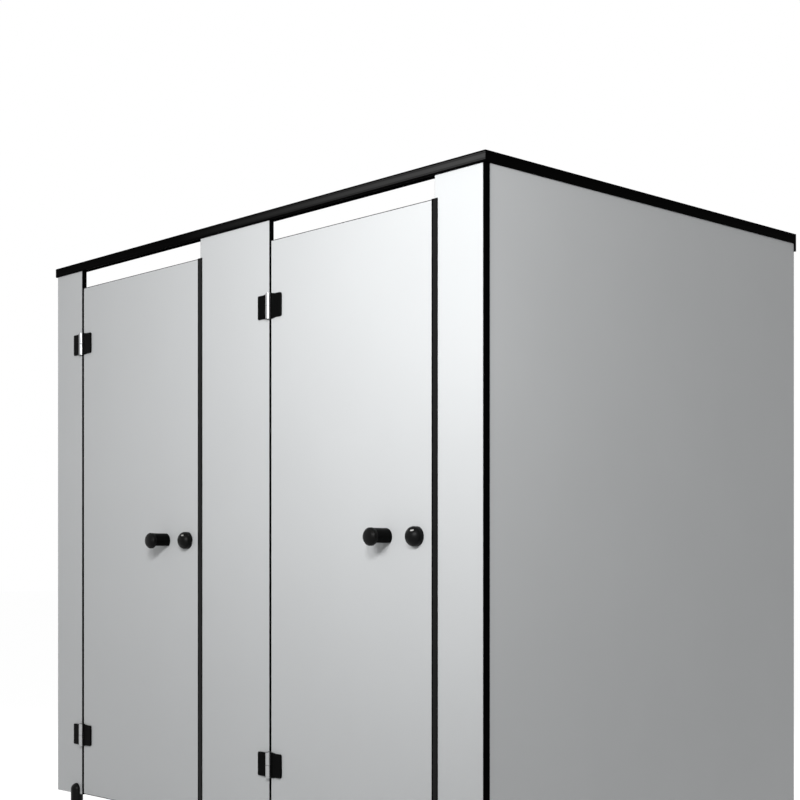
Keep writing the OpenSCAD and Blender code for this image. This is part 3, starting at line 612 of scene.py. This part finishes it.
def points_mesh(points: list[Vector], vectors: dict[str, list[Vector]] | None = None,
                floats: dict[str, list[float]] | None = None) -> bpy.types.Mesh:
    """Makes a mesh of loose points with named attributes."""
    mesh = bpy.data.meshes.new("places")
    mesh.from_pydata([tuple(p) for p in points], [], [])
    for name, rows in (vectors or {}).items():
        attribute = mesh.attributes.new(name, "FLOAT_VECTOR", "POINT")
        attribute.data.foreach_set("vector", [c for row in rows for c in row])
    for name, numbers in (floats or {}).items():
        attribute = mesh.attributes.new(name, "FLOAT", "POINT")
        attribute.data.foreach_set("value", numbers)
    return mesh


def islands(bm: bmesh.types.BMesh) -> list[list[Vector]]:
    """Returns the points of each loose part of a mesh, in an order that is the same on each run."""
    left = set(bm.verts)
    found = []
    for first in bm.verts:
        if first not in left:
            continue
        left.remove(first)
        stack, part = [first], []
        while stack:
            vert = stack.pop()
            part.append(vert.co.copy())
            for edge in vert.link_edges:
                other = edge.other_vert(vert)
                if other in left:
                    left.remove(other)
                    stack.append(other)
        found.append(part)
    return found


def box_of(points: list[Vector]) -> tuple[Vector, Vector]:
    """Returns the lowest and highest corner of points."""
    return (Vector([min(p[k] for p in points) for k in range(3)]),
            Vector([max(p[k] for p in points) for k in range(3)]))


@dataclass
class Boards:
    """The six fixed boards and the two doors, with their edges rounded down to the dark core."""

    fronts: tuple[str, ...] = ("pilaster_left", "pilaster_middle", "pilaster_right", "door_left",
                               "door_right")
    panels: tuple[str, ...] = ("end_panel_left", "partition_middle", "end_panel_right")
    cad_chamfer_mm: float = 2.4
    chamfer_play_mm: float = 0.05
    round_mm: float = 3.2
    segments: int = 5
    straight_from: float = 0.9999

    def squared(self, node: str) -> bpy.types.Mesh:
        """Copies a board with its chamfers drawn out to sharp corners, and marks its outer edges.

        Args:
            node: The board's CAD node.

        Returns:
            The board with its holes, and a bevel weight on the edges between its six sides.
        """
        low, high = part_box(node)
        bm = merged_copy(node)
        reach = (self.cad_chamfer_mm + self.chamfer_play_mm) * MM
        for vert in bm.verts:
            for k in range(3):
                if vert.co[k] < low[k] + reach:
                    vert.co[k] = low[k]
                elif vert.co[k] > high[k] - reach:
                    vert.co[k] = high[k]
        bmesh.ops.remove_doubles(bm, verts=bm.verts, dist=BOARD_MERGE_DISTANCE)
        bmesh.ops.dissolve_degenerate(bm, edges=bm.edges, dist=BOARD_MERGE_DISTANCE)
        bmesh.ops.dissolve_limit(bm, angle_limit=FLAT_ANGLE, verts=bm.verts, edges=bm.edges)
        weight = bm.edges.layers.float.new("bevel_weight_edge")
        for edge in bm.edges:
            middle = (edge.verts[0].co + edge.verts[1].co) / 2
            on_sides = sum(min(middle[k] - low[k], high[k] - middle[k]) < BOARD_MERGE_DISTANCE
                           for k in range(3))
            edge[weight] = float(on_sides > 1)
        return mesh_from(bm, "board")

    def levelled(self, mesh: bpy.types.Mesh) -> bpy.types.Mesh:
        """Gives each face that looks straight along an axis its own normal at all its corners.

        Args:
            mesh: A rounded board, whose large faces may have borrowed a normal from a hole's wall.

        Returns:
            The same mesh.
        """
        normals = [corner.vector.copy() for corner in mesh.corner_normals]
        for face in mesh.polygons:
            if max(abs(part) for part in face.normal) > self.straight_from:
                for corner in face.loop_indices:
                    normals[corner] = face.normal.copy()
        mesh.normals_split_custom_set(normals)
        return mesh

    def build(self) -> None:
        """Builds the boards: pale faces, dark core on the rounded edges and in the holes."""
        for nodes, finish in ((self.fronts, FRONT_LAMINATE), (self.panels, SIDE_LAMINATE)):
            for node in nodes:
                mesh = self.levelled(rounded(self.squared(node), self.round_mm, self.segments, "WEIGHT"))
                new_piece(f"{node}_board", mesh, body_of(node), [finish], (node,), None)


@dataclass
class Headrail:
    """The rail over the boards: two extrusions with lips and a hollow band, mitred at the corner."""

    lip_low: float = 6.0 * MM
    lip_high: float = 4.5 * MM
    band_depth: float = 0.9 * MM
    band_steps: int = 8
    edge: float = 0.8 * MM
    leg: float = 4.9 * MM
    wall: float = 1.6 * MM
    cap_round_mm: float = 0.5
    plate_round_mm: float = 0.4
    trim_round_mm: float = 0.3

    def section(self, depth: float, height: float) -> tuple[Outline, dict[int, int]]:
        """Returns the rail's outline, with 0, 0 at its lower outer edge, and the sides in its bands."""
        e = self.edge
        half = [(e, 0.0), (self.leg, 0.0), (self.leg, height - self.wall)]
        start, end = self.lip_low, height - self.lip_high
        band = []
        for i in range(self.band_steps + 1):
            across = i / self.band_steps
            band.append((4 * self.band_depth * across * (1 - across), start + across * (end - start)))
        outer = [(0.0, e)] + band + [(0.0, height - e), (e, height)]
        inner = [(depth - a, b) for a, b in reversed(outer)]
        far_leg = [(depth - a, b) for a, b in half]
        outline = outer + inner + far_leg + list(reversed(half))
        last = len(outer) + len(inner) - 3
        bands = {i: 1 for k in range(self.band_steps) for i in (1 + k, last - k)}
        return outline, bands

    def build(self) -> None:
        """Builds both rails, and rounds the end cap and the wall plate."""
        low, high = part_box("headrail_front")
        depth, height = high.y - low.y, high.z - low.z
        outline, bands = self.section(depth, height)
        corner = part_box("headrail_return")[1].x
        front = lofted(outline, lambda a, b: Vector((low.x, low.y + a, low.z + b)),
                       lambda a, b: Vector((corner - a, low.y + a, low.z + b)), bands)
        new_piece("headrail_front_extrusion", front, FRAME_BODY,
                  [ANODISED_X, PAINTED_SHEEN_BAND], ("headrail_front",))
        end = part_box("headrail_return")[1].y
        side = lofted(outline, lambda a, b: Vector((corner - a, low.y + a, low.z + b)),
                      lambda a, b: Vector((corner - a, end, low.z + b)), bands)
        new_piece("headrail_return_extrusion", side, FRAME_BODY,
                  [ANODISED_Y, ANODISED_Y], ("headrail_return",))
        dress("headrail_corner_key", ZINC)
        soften("headrail_end_cap", NYLON, self.cap_round_mm)
        soften("headrail_wall_plate", POWDER_COAT, self.plate_round_mm)
        soften("corner_trim", ANODISED_Z, self.trim_round_mm)


@dataclass
class ClosingStrip:
    """The strip on a door's closing edge: a black extrusion with a dark-grey seal pressed into it."""

    side: str
    lip: float = 4.2 * MM
    far_lip: float = 1.8 * MM
    groove: float = 0.7 * MM
    seal_crown: float = 0.5 * MM
    thickness: float = 2.0 * MM
    edge: float = 0.6 * MM
    lap_gap: float = 0.3 * MM

    def build(self) -> None:
        """Builds the extrusion and its seal."""
        node = f"closing_strip_{self.side}"
        low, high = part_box(node)
        board_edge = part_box(f"door_{self.side}")[1].x
        left, right = low.x, high.x
        seal_left, seal_right = left + self.lip, right - self.far_lip
        face, back = low.y, low.y + self.thickness
        e, g = self.edge, self.groove
        outline = [(left, back), (left, face + e), (left + e, face), (seal_left, face), (seal_left, face + g),
                   (seal_right, face + g), (seal_right, face), (right - e, face), (right, face + e),
                   (right, back - self.lap_gap), (board_edge + self.thickness, back - self.lap_gap),
                   (board_edge + self.thickness, high.y), (board_edge, high.y), (board_edge, back)]
        strip = lofted(outline, lambda x, y: Vector((x, y, low.z)), lambda x, y: Vector((x, y, high.z)))
        body = body_of(node)
        new_piece(f"closing_strip_{self.side}_extrusion", strip, body, [ANODISED_Z],
                  (node,))
        crown = arc(((seal_left + seal_right) / 2, face + g), ((seal_right - seal_left) / 2, self.seal_crown),
                    180, 360, 10)
        seal = lofted(crown, lambda x, y: Vector((x, y, low.z)), lambda x, y: Vector((x, y, high.z)))
        new_piece(f"closing_strip_{self.side}_seal", seal, body, [SEAL], ())


@dataclass
class Hinges:
    """The four hinges: rounded covers with steel end caps, barrels with painted shade at their split, pins
    and plates.
    """

    cover_round_mm: float = 0.8
    barrel_round_mm: float = 1.5
    plate_round_mm: float = 0.4
    round_r: float = 8.3 * MM
    cap_from: float = 33.9 * MM
    split: float = 2.0 * MM
    upright_to: float = 0.1

    def paint(self, piece: bpy.types.Object, axes: list[Vector], finish: Finish,
              chosen: Callable[[Vector, Vector], bool]) -> None:
        """Gives some faces close to the hinge pins a second finish.

        Args:
            piece: The piece.
            axes: The middle of each hinge pin.
            finish: The second finish.
            chosen: Tells from a face's place and normal, both from the pin's middle, if it gets the finish.
        """
        piece.data.materials.append(finish.material())
        for face in piece.data.polygons:
            for axis in axes:
                away = face.center - axis
                if math.hypot(away.x, away.y) < self.round_r and chosen(away, face.normal):
                    face.material_index = 1

    def build(self) -> None:
        """Rounds the visible parts and dresses the pins."""
        boxes = [box_of(part) for part in islands(merged_copy("hinge_pins"))]
        axes = [(low + high) / 2 for low, high in boxes]
        for part in ("fixed", *SIDES):
            covers = soften(f"hinge_covers_{part}", TEXTURED_NYLON, self.cover_round_mm)
            self.paint(covers, axes, BRUSHED_STEEL,
                       lambda away, normal: abs(away.z) > self.cap_from and abs(normal.z) < self.upright_to)
            knuckles = soften(f"hinge_knuckles_{part}", BRUSHED_STEEL, self.barrel_round_mm)
            # The knuckles' faces at the split get painted shade, where the gap between the barrel's halves is
            # shaded.
            self.paint(knuckles, axes, DARK_STEEL_AND_SPLIT_SHADE, lambda away, normal: abs(away.z) < self.split)
            soften(f"hinge_plates_{part}", BRUSHED_STEEL, self.plate_round_mm)
        dress("hinge_pins", DARK_STEEL_AND_SPLIT_SHADE)


@dataclass
class Knob:
    """A door's knob: the neck with its finger cut, the round end, and the rose and bolt inside."""

    side: str
    end_edge: float = 1.2 * MM
    end_rim: float = 7.5 * MM
    end_dome: float = 5.0 * MM
    rim_turn_deg: float = 62.0
    neck_round_mm: float = 1.0
    rose_round_mm: float = 0.6

    def build(self) -> None:
        """Builds the round end as a smooth turned shape and rounds the rest."""
        node = f"knob_end_{self.side}"
        low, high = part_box(node)
        radius, length = (high.x - low.x) / 2, high.y - low.y
        x, z = (low.x + high.x) / 2, (low.z + high.z) / 2
        face_r, shoulder = radius - self.end_rim, length - self.end_dome
        outline = [(0.0, 0.0)]
        outline += arc((radius - self.end_edge, self.end_edge), (self.end_edge, self.end_edge), -90, 0, 4)
        outline += arc((face_r, shoulder - self.end_rim), (self.end_rim, self.end_rim), 0,
                       self.rim_turn_deg, 10)
        rim_r, rim_z = outline[-1]
        outline += arc((0.0, rim_z), (rim_r, length - rim_z), 0, 90, 14)[1:]
        mesh = revolved(outline, outward(x, high.y, z))
        new_piece(f"knob_end_{self.side}_turned", mesh, body_of(node), [SATIN_NYLON], (node,))
        soften(f"knob_neck_{self.side}", NYLON, self.neck_round_mm)
        soften(f"knob_rose_{self.side}", NYLON, self.rose_round_mm)
        dress(f"knob_bolt_{self.side}", ZINC)


@dataclass
class Lock:
    """A door's lock: the domed cover with its window, the indicator behind it, and the parts inside."""

    side: str
    base: float = 12.0 * MM
    wall: float = 2.0 * MM
    window_up: float = 16.0 * MM
    window_side: float = 7.0 * MM
    window_r: float = 2.6 * MM
    window_half: float = 3.6 * MM
    indicator_t: float = 1.5 * MM
    hub_r: float = 8.0 * MM
    hub_from: float = 4.0 * MM
    rim_cut: float = 0.4 * MM
    steps: int = 20
    cover_round_mm: float = 0.35
    case_round_mm: float = 0.6
    turn_round_mm: float = 1.6
    bolt_round_mm: float = 0.5

    def dome(self, radius: float, base: float, rise: float) -> Outline:
        """Returns the outline of a dome from its foot to its pole."""
        return arc((0.0, base), (radius, rise), 0, 90, self.steps)

    def cover(self) -> None:
        """Builds the cover's shell and cuts its window."""
        node = f"lock_cover_{self.side}"
        low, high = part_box(node)
        radius, reach = (high.x - low.x) / 2, high.y - low.y
        x, z = (low.x + high.x) / 2, (low.z + high.z) / 2
        rise = reach - self.base
        outer = self.dome(radius, self.base, rise)
        inner = self.dome(radius - self.wall, self.base, rise - self.wall)
        rim = [(radius - self.wall, 0.0), (radius - self.rim_cut, 0.0), (radius, self.rim_cut)]
        outline = list(reversed(inner)) + rim + outer
        shell = shown("shell", revolved(outline, outward(x, high.y, z)))
        r, half = self.window_r, self.window_half
        slot = arc((half, 0.0), (r, r), -90, 90, 10) + arc((-half, 0.0), (r, r), 90, 270, 10)
        middle_x, middle_z = x + self.window_side, z + self.window_up
        cutter = shown("cutter", lofted(slot, lambda a, b: Vector((middle_x + a, low.y - r, middle_z + b)),
                                        lambda a, b: Vector((middle_x + a, high.y - self.base / 2,
                                                             middle_z + b))))
        cut = shell.modifiers.new("window", "BOOLEAN")
        cut.operation, cut.solver, cut.object = "DIFFERENCE", "EXACT", cutter
        rounding = shell.modifiers.new("rounding", "BEVEL")
        rounding.width, rounding.segments, rounding.limit_method = self.cover_round_mm * MM, 2, "ANGLE"
        rounding.angle_limit = math.radians(50)
        mesh = settled(shell)
        bpy.data.objects.remove(cutter)
        new_piece(f"lock_cover_{self.side}_moulded", mesh, body_of(node), [SATIN_NYLON],
                  (node,), 40)

    def indicator(self) -> None:
        """Builds the thin dome behind the window, pale with a red quarter that shows when it is shut."""
        node = f"indicator_{self.side}"
        low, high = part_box(node)
        radius = (high.x - low.x) / 2
        x, z = (low.x + high.x) / 2, (low.z + high.z) / 2
        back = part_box(f"lock_cover_{self.side}")[1].y
        rise = back - low.y - self.base
        outer = self.dome(radius, self.base, rise)
        inner = self.dome(radius - self.indicator_t, self.base, rise - self.indicator_t)
        share = self.hub_r / (radius - self.indicator_t)
        hub_top = self.base + (rise - self.indicator_t) * math.sqrt(1 - share ** 2)
        inner = [p for p in inner if p[0] > self.hub_r]
        outline = [(0.0, self.hub_from), (self.hub_r, self.hub_from), (self.hub_r, hub_top)]
        outline += list(reversed(inner)) + outer
        mesh = revolved(outline, outward(x, back, z), 48)
        for face in mesh.polygons:
            across, up = face.center.x - x, face.center.z - z
            face.material_index = int(across < -abs(up))
        new_piece(f"indicator_{self.side}_moulded", mesh, body_of(node), [PALE_ABS, RED_ABS],
                  (node,))

    def build(self) -> None:
        """Builds the cover and the indicator, and rounds the parts inside."""
        self.cover()
        self.indicator()
        soften(f"lock_case_{self.side}", TEXTURED_NYLON, self.case_round_mm)
        soften(f"thumb_turn_{self.side}", NYLON, self.turn_round_mm, 4)
        soften(f"slide_bolt_{self.side}", BRUSHED_STEEL, self.bolt_round_mm)
        dress(f"lock_spindle_{self.side}", ZINC)


@dataclass
class Feet:
    """The seven levelling feet: moulded posts and flanges, threaded studs and lock nuts."""

    pitch: float = 1.75 * MM
    thread_depth: float = 0.55 * MM
    bore: float = 6.0 * MM
    corner_cut: float = 0.5 * MM
    round_mm: float = 1.0

    def stud_tree(self) -> bpy.types.NodeTree:
        """Returns the tree of a threaded stud: a core with one ridge wound round it."""
        tree, given = new_tree("threaded_stud", ("Radius", "Length", "Pitch", "Depth"))
        out = given.outputs
        core_r = calculated(tree, "SUBTRACT", out["Radius"], out["Depth"])
        core = add_node(tree, "GeometryNodeMeshCylinder",
                        {"Vertices": 24, "Radius": core_r, "Depth": out["Length"]})
        stood = lifted(tree, core, calculated(tree, "MULTIPLY", out["Length"], 0.5))
        wound = calculated(tree, "SUBTRACT", out["Length"], out["Pitch"])
        spiral = add_node(tree, "GeometryNodeCurveSpiral", {
            "Resolution": 20, "Rotations": calculated(tree, "DIVIDE", wound, out["Pitch"]),
            "Start Radius": core_r, "End Radius": core_r, "Height": wound})
        raised = lifted(tree, spiral, calculated(tree, "MULTIPLY", out["Pitch"], 0.5))
        ridge = add_node(tree, "GeometryNodeCurvePrimitiveCircle",
                         {"Resolution": 4, "Radius": out["Depth"]}, mode="RADIUS")
        swept = add_node(tree, "GeometryNodeCurveToMesh",
                         {"Curve": raised.outputs[0], "Profile Curve": ridge.outputs[0], "Fill Caps": True})
        both = add_node(tree, "GeometryNodeJoinGeometry")
        for part in (stood, swept):
            tree.links.new(part.outputs[0], both.inputs[0])
        close_tree(tree, given, [set_on_points(tree, out["Places"], both)])
        return tree

    def nut_tree(self) -> bpy.types.NodeTree:
        """Returns the tree of a hexagon nut whose corners are turned off at both ends."""
        tree, given = new_tree("hexagon_nut", ("Corner radius", "Height", "Bore radius", "Turned radius"))
        out = given.outputs
        blank = add_node(tree, "GeometryNodeMeshCylinder",
                         {"Vertices": 6, "Radius": out["Corner radius"], "Depth": out["Height"]})
        ball = add_node(tree, "GeometryNodeMeshUVSphere",
                        {"Segments": 48, "Rings": 24, "Radius": out["Turned radius"]})
        turned = both_of(tree, blank, ball)
        hole = add_node(tree, "GeometryNodeMeshCylinder", {
            "Vertices": 32, "Radius": out["Bore radius"],
            "Depth": calculated(tree, "MULTIPLY", out["Height"], 2.0)})
        bored = cut_from(tree, turned, hole)
        close_tree(tree, given, [set_on_points(tree, out["Places"], bored)])
        return tree

    def build(self) -> None:
        """Builds studs and nuts on the CAD ones' places and rounds the posts and flanges."""
        studs = [box_of(part) for part in islands(merged_copy("foot_studs"))]
        radius, length = (studs[0][1].x - studs[0][0].x) / 2, studs[0][1].z - studs[0][0].z
        feet = [Vector(((a.x + b.x) / 2, (a.y + b.y) / 2, a.z)) for a, b in studs]
        mesh = grown(self.stud_tree(), points_mesh(feet), {
            "Radius": radius, "Length": length, "Pitch": self.pitch, "Depth": self.thread_depth}, ZINC)
        new_piece("foot_studs_threaded", mesh, FRAME_BODY, [ZINC], ("foot_studs",), 20)
        nuts = [box_of(part) for part in islands(merged_copy("foot_lock_nuts"))]
        height, corner = nuts[0][1].z - nuts[0][0].z, (nuts[0][1].x - nuts[0][0].x) / 2
        middles = [(a + b) / 2 for a, b in nuts]
        mesh = grown(self.nut_tree(), points_mesh(middles),
                     {"Corner radius": corner, "Height": height, "Bore radius": self.bore,
                      "Turned radius": math.hypot(corner, height / 2) - self.corner_cut}, ZINC)
        new_piece("foot_lock_nuts_turned", mesh, FRAME_BODY, [ZINC], ("foot_lock_nuts",), 25)
        soften("foot_posts", SATIN_NYLON, self.round_mm)
        soften("foot_flanges", SATIN_NYLON, self.round_mm)


@dataclass
class Screws:
    """Button-head screws with a hexagon socket, in place of every CAD screw."""

    head_r: float = 4.8 * MM
    head_h: float = 2.8 * MM
    shank_r: float = 2.4 * MM
    socket_r: float = 1.8 * MM
    block_r: float = 12.0 * MM
    rim_share: float = 0.97
    groups: tuple[str, ...] = ("frame_screws", "foot_screws", "hinge_screws_fixed", "door_screws_left",
                               "door_screws_right")

    def sizes(self) -> dict[str, float]:
        """Returns the tree's named sizes."""
        return {"Head radius": self.head_r, "Head height": self.head_h, "Shank radius": self.shank_r,
                "Socket radius": self.socket_r}

    def places(self, node: str) -> bpy.types.Mesh:
        """Finds each CAD screw's seat, direction and length.

        Args:
            node: A CAD node whose loose parts are screws.

        Returns:
            A mesh of points at the undersides of the heads, with the attributes way and shank.
        """
        seats, ways, shanks = [], [], []
        rim_r = self.rim_share * self.head_r
        for part in islands(merged_copy(node)):
            low, high = box_of(part)
            size = high - low
            axis = max(range(3), key=lambda k: size[k])
            middle = (low + high) / 2
            rim = [p[axis] for p in part
                   if (p - middle).length_squared - (p[axis] - middle[axis]) ** 2 > rim_r ** 2]
            sign = 1 if sum(rim) / len(rim) > middle[axis] else -1
            seat = middle.copy()
            seat[axis] = min(rim) if sign > 0 else max(rim)
            way = Vector((0, 0, 0))
            way[axis] = sign
            seats.append(seat)
            ways.append(way)
            shanks.append(size[axis] - self.head_h)
        return points_mesh(seats, {"way": ways}, {"shank": shanks})

    def tree(self) -> bpy.types.NodeTree:
        """Returns the tree that sets a head and a shank on every point."""
        tree, given = new_tree("button_head_screws", tuple(self.sizes()))
        out = given.outputs
        ball = add_node(tree, "GeometryNodeMeshUVSphere", {"Segments": 24, "Rings": 12, "Radius": 1.0})
        scale = add_node(tree, "ShaderNodeCombineXYZ",
                         {0: out["Head radius"], 1: out["Head radius"], 2: out["Head height"]})
        dome = add_node(tree, "GeometryNodeTransform",
                        {"Geometry": ball.outputs[0], "Scale": scale.outputs[0]})
        block = add_node(tree, "GeometryNodeMeshCylinder",
                         {"Vertices": 4, "Radius": self.block_r, "Depth": out["Head height"]})
        upper = lifted(tree, block, calculated(tree, "MULTIPLY", out["Head height"], 0.5))
        key = add_node(tree, "GeometryNodeMeshCylinder",
                       {"Vertices": 6, "Radius": out["Socket radius"], "Depth": out["Head height"]})
        head = cut_from(tree, both_of(tree, dome, upper), lifted(tree, key, out["Head height"]))
        shank = add_node(tree, "GeometryNodeMeshCylinder",
                         {"Vertices": 12, "Radius": out["Shank radius"], "Depth": 1.0})
        shank_down = lifted(tree, shank, -0.5)
        way = add_node(tree, "GeometryNodeInputNamedAttribute", {"Name": "way"}, data_type="FLOAT_VECTOR")
        length = add_node(tree, "GeometryNodeInputNamedAttribute", {"Name": "shank"}, data_type="FLOAT")
        turn = add_node(tree, "FunctionNodeAlignRotationToVector", {"Vector": way.outputs[0]}, axis="Z")
        heads = set_on_points(tree, out["Places"], head, Rotation=turn.outputs[0])
        stretch = add_node(tree, "ShaderNodeCombineXYZ", {0: 1.0, 1: 1.0, 2: length.outputs[0]})
        shanks = set_on_points(tree, out["Places"], shank_down, Rotation=turn.outputs[0],
                               Scale=stretch.outputs[0])
        close_tree(tree, given, [heads, shanks])
        return tree

    def build(self) -> None:
        """Builds one mesh of screws for each CAD group of them."""
        tree = self.tree()
        for node in self.groups:
            mesh = grown(tree, self.places(node), self.sizes(), ZINC)
            new_piece(f"{node}_socketed", mesh, body_of(node), [ZINC], (node,))


@dataclass
class Brackets:
    """The angles between the boards and to the wall, and the keepers."""

    round_mm: float = 0.5
    keeper_round_mm: float = 0.3

    def build(self) -> None:
        """Rounds the folded sheet of the angles and the keepers."""
        soften("corner_brackets", POWDER_COAT, self.round_mm)
        soften("wall_brackets", POWDER_COAT, self.round_mm)
        soften("keepers", BRUSHED_STEEL, self.keeper_round_mm)


@dataclass
class Studio:
    """Camera, floor, white background and soft lamps."""

    focal_mm: float = 66.92
    sensor_mm: float = 36.0
    lift: float = 0.2021
    camera_place: tuple[float, float, float] = (3.6480, -3.3967, 0.9598)
    camera_turn: float = 0.8195
    floor_half: float = 40.0
    ambient: float = 0.295

    def camera(self) -> None:
        """Sets the camera at the photograph's place, with its picture plane upright."""
        data = bpy.data.cameras.new("camera")
        data.lens, data.sensor_width, data.shift_y = self.focal_mm, self.sensor_mm, self.lift
        data.clip_end = 200
        camera = shown("camera", data)
        camera.location = self.camera_place
        camera.rotation_euler = (math.pi / 2, 0, self.camera_turn)
        bpy.context.scene.camera = camera

    def seen_ray(self, tree: bpy.types.NodeTree) -> bpy.types.NodeSocket:
        """Returns a socket that is 1 for what the camera sees, directly, in gloss or through glass."""
        path = add_node(tree, "ShaderNodeLightPath").outputs
        direct = calculated(tree, "MAXIMUM", path["Is Camera Ray"], path["Is Glossy Ray"])
        return calculated(tree, "MAXIMUM", direct, path["Is Transmission Ray"])

    def background(self) -> None:
        """Makes the world white to the eye and a plain soft light to the object."""
        world = bpy.data.worlds.new("studio")
        world.use_nodes = True
        bpy.context.scene.world = world
        tree = world.node_tree
        tree.nodes.clear()
        strength = add_node(tree, "ShaderNodeMapRange", {"Value": self.seen_ray(tree), "To Min": self.ambient,
                                                        "To Max": 1.0})
        light = add_node(tree, "ShaderNodeBackground",
                         {"Color": (1, 1, 1, 1), "Strength": strength.outputs[0]})
        add_node(tree, "ShaderNodeOutputWorld", {"Surface": light.outputs[0]})

    def floor(self) -> None:
        """Lays the floor: white to the eye, with the object's shadow kept in its diffuse part."""
        half = self.floor_half
        mesh = bpy.data.meshes.new("floor")
        mesh.from_pydata([(-half, -half, 0), (half, -half, 0), (half, half, 0), (-half, half, 0)], [],
                         [(0, 1, 2, 3)])
        material = bpy.data.materials.new("white_studio_floor")
        material.use_nodes = True
        tree = material.node_tree
        tree.nodes.clear()
        diffuse = add_node(tree, "ShaderNodeBsdfDiffuse", {"Color": hex_to_linear("#e4e4e4")})
        faint = add_node(tree, "ShaderNodeBsdfDiffuse", {"Color": (0.3, 0.3, 0.3, 1)})
        glow = add_node(tree, "ShaderNodeEmission", {"Strength": 0.9})
        bright = add_node(tree, "ShaderNodeAddShader", {0: faint.outputs[0], 1: glow.outputs[0]})
        mix = add_node(tree, "ShaderNodeMixShader", {0: self.seen_ray(tree), 1: diffuse.outputs[0],
                                                    2: bright.outputs[0]})
        add_node(tree, "ShaderNodeOutputMaterial", {"Surface": mix.outputs[0]})
        mesh.materials.append(material)
        shown("floor", mesh)

    def lamp(self, name: str, place: tuple[float, float, float], aim: tuple[float, float, float], size: float,
             power: float, spread_deg: float = 180.0) -> None:
        """Adds a square soft lamp that the camera doesn't see.

        Args:
            name: The lamp's name.
            place: Where it hangs, in metres.
            aim: The point it faces.
            size: Its side, in metres.
            power: Its power in watts.
            spread_deg: Angle of its beam.
        """
        data = bpy.data.lights.new(name, "AREA")
        data.shape, data.size, data.energy, data.spread = "SQUARE", size, power, math.radians(spread_deg)
        lamp = shown(name, data)
        lamp.location = place
        lamp.rotation_euler = (Vector(aim) - Vector(place)).to_track_quat("-Z", "Y").to_euler()
        lamp.visible_camera = False

    def build(self) -> None:
        """Builds everything round the object."""
        self.camera()
        self.background()
        self.floor()
        self.lamp("front", (1.378, -2.529, 1.802), (0.999, -0.675, 3.144), 0.8, 40)
        self.lamp("side_beam", (3.3, -3.6, 2.7), (-0.9, -0.675, 1.2), 0.6, 16, 80)
        self.lamp("back_fill", (-2.2, 2.6, 2.6), (0, 0, 0.9), 1.5, 60)
        bpy.context.scene.view_settings.view_transform = "Standard"


def main() -> None:
    """Builds the studio and every sub-assembly, in order."""
    logging.basicConfig(level=logging.INFO, format="%(message)s")
    Studio().build()
    parts = [Boards(), Headrail(), *(ClosingStrip(side) for side in SIDES), Hinges(),
             *(Knob(side) for side in SIDES), *(Lock(side) for side in SIDES), Feet(), Brackets(), Screws()]
    for part in parts:
        part.build()


if __name__ == "__main__":
    main()
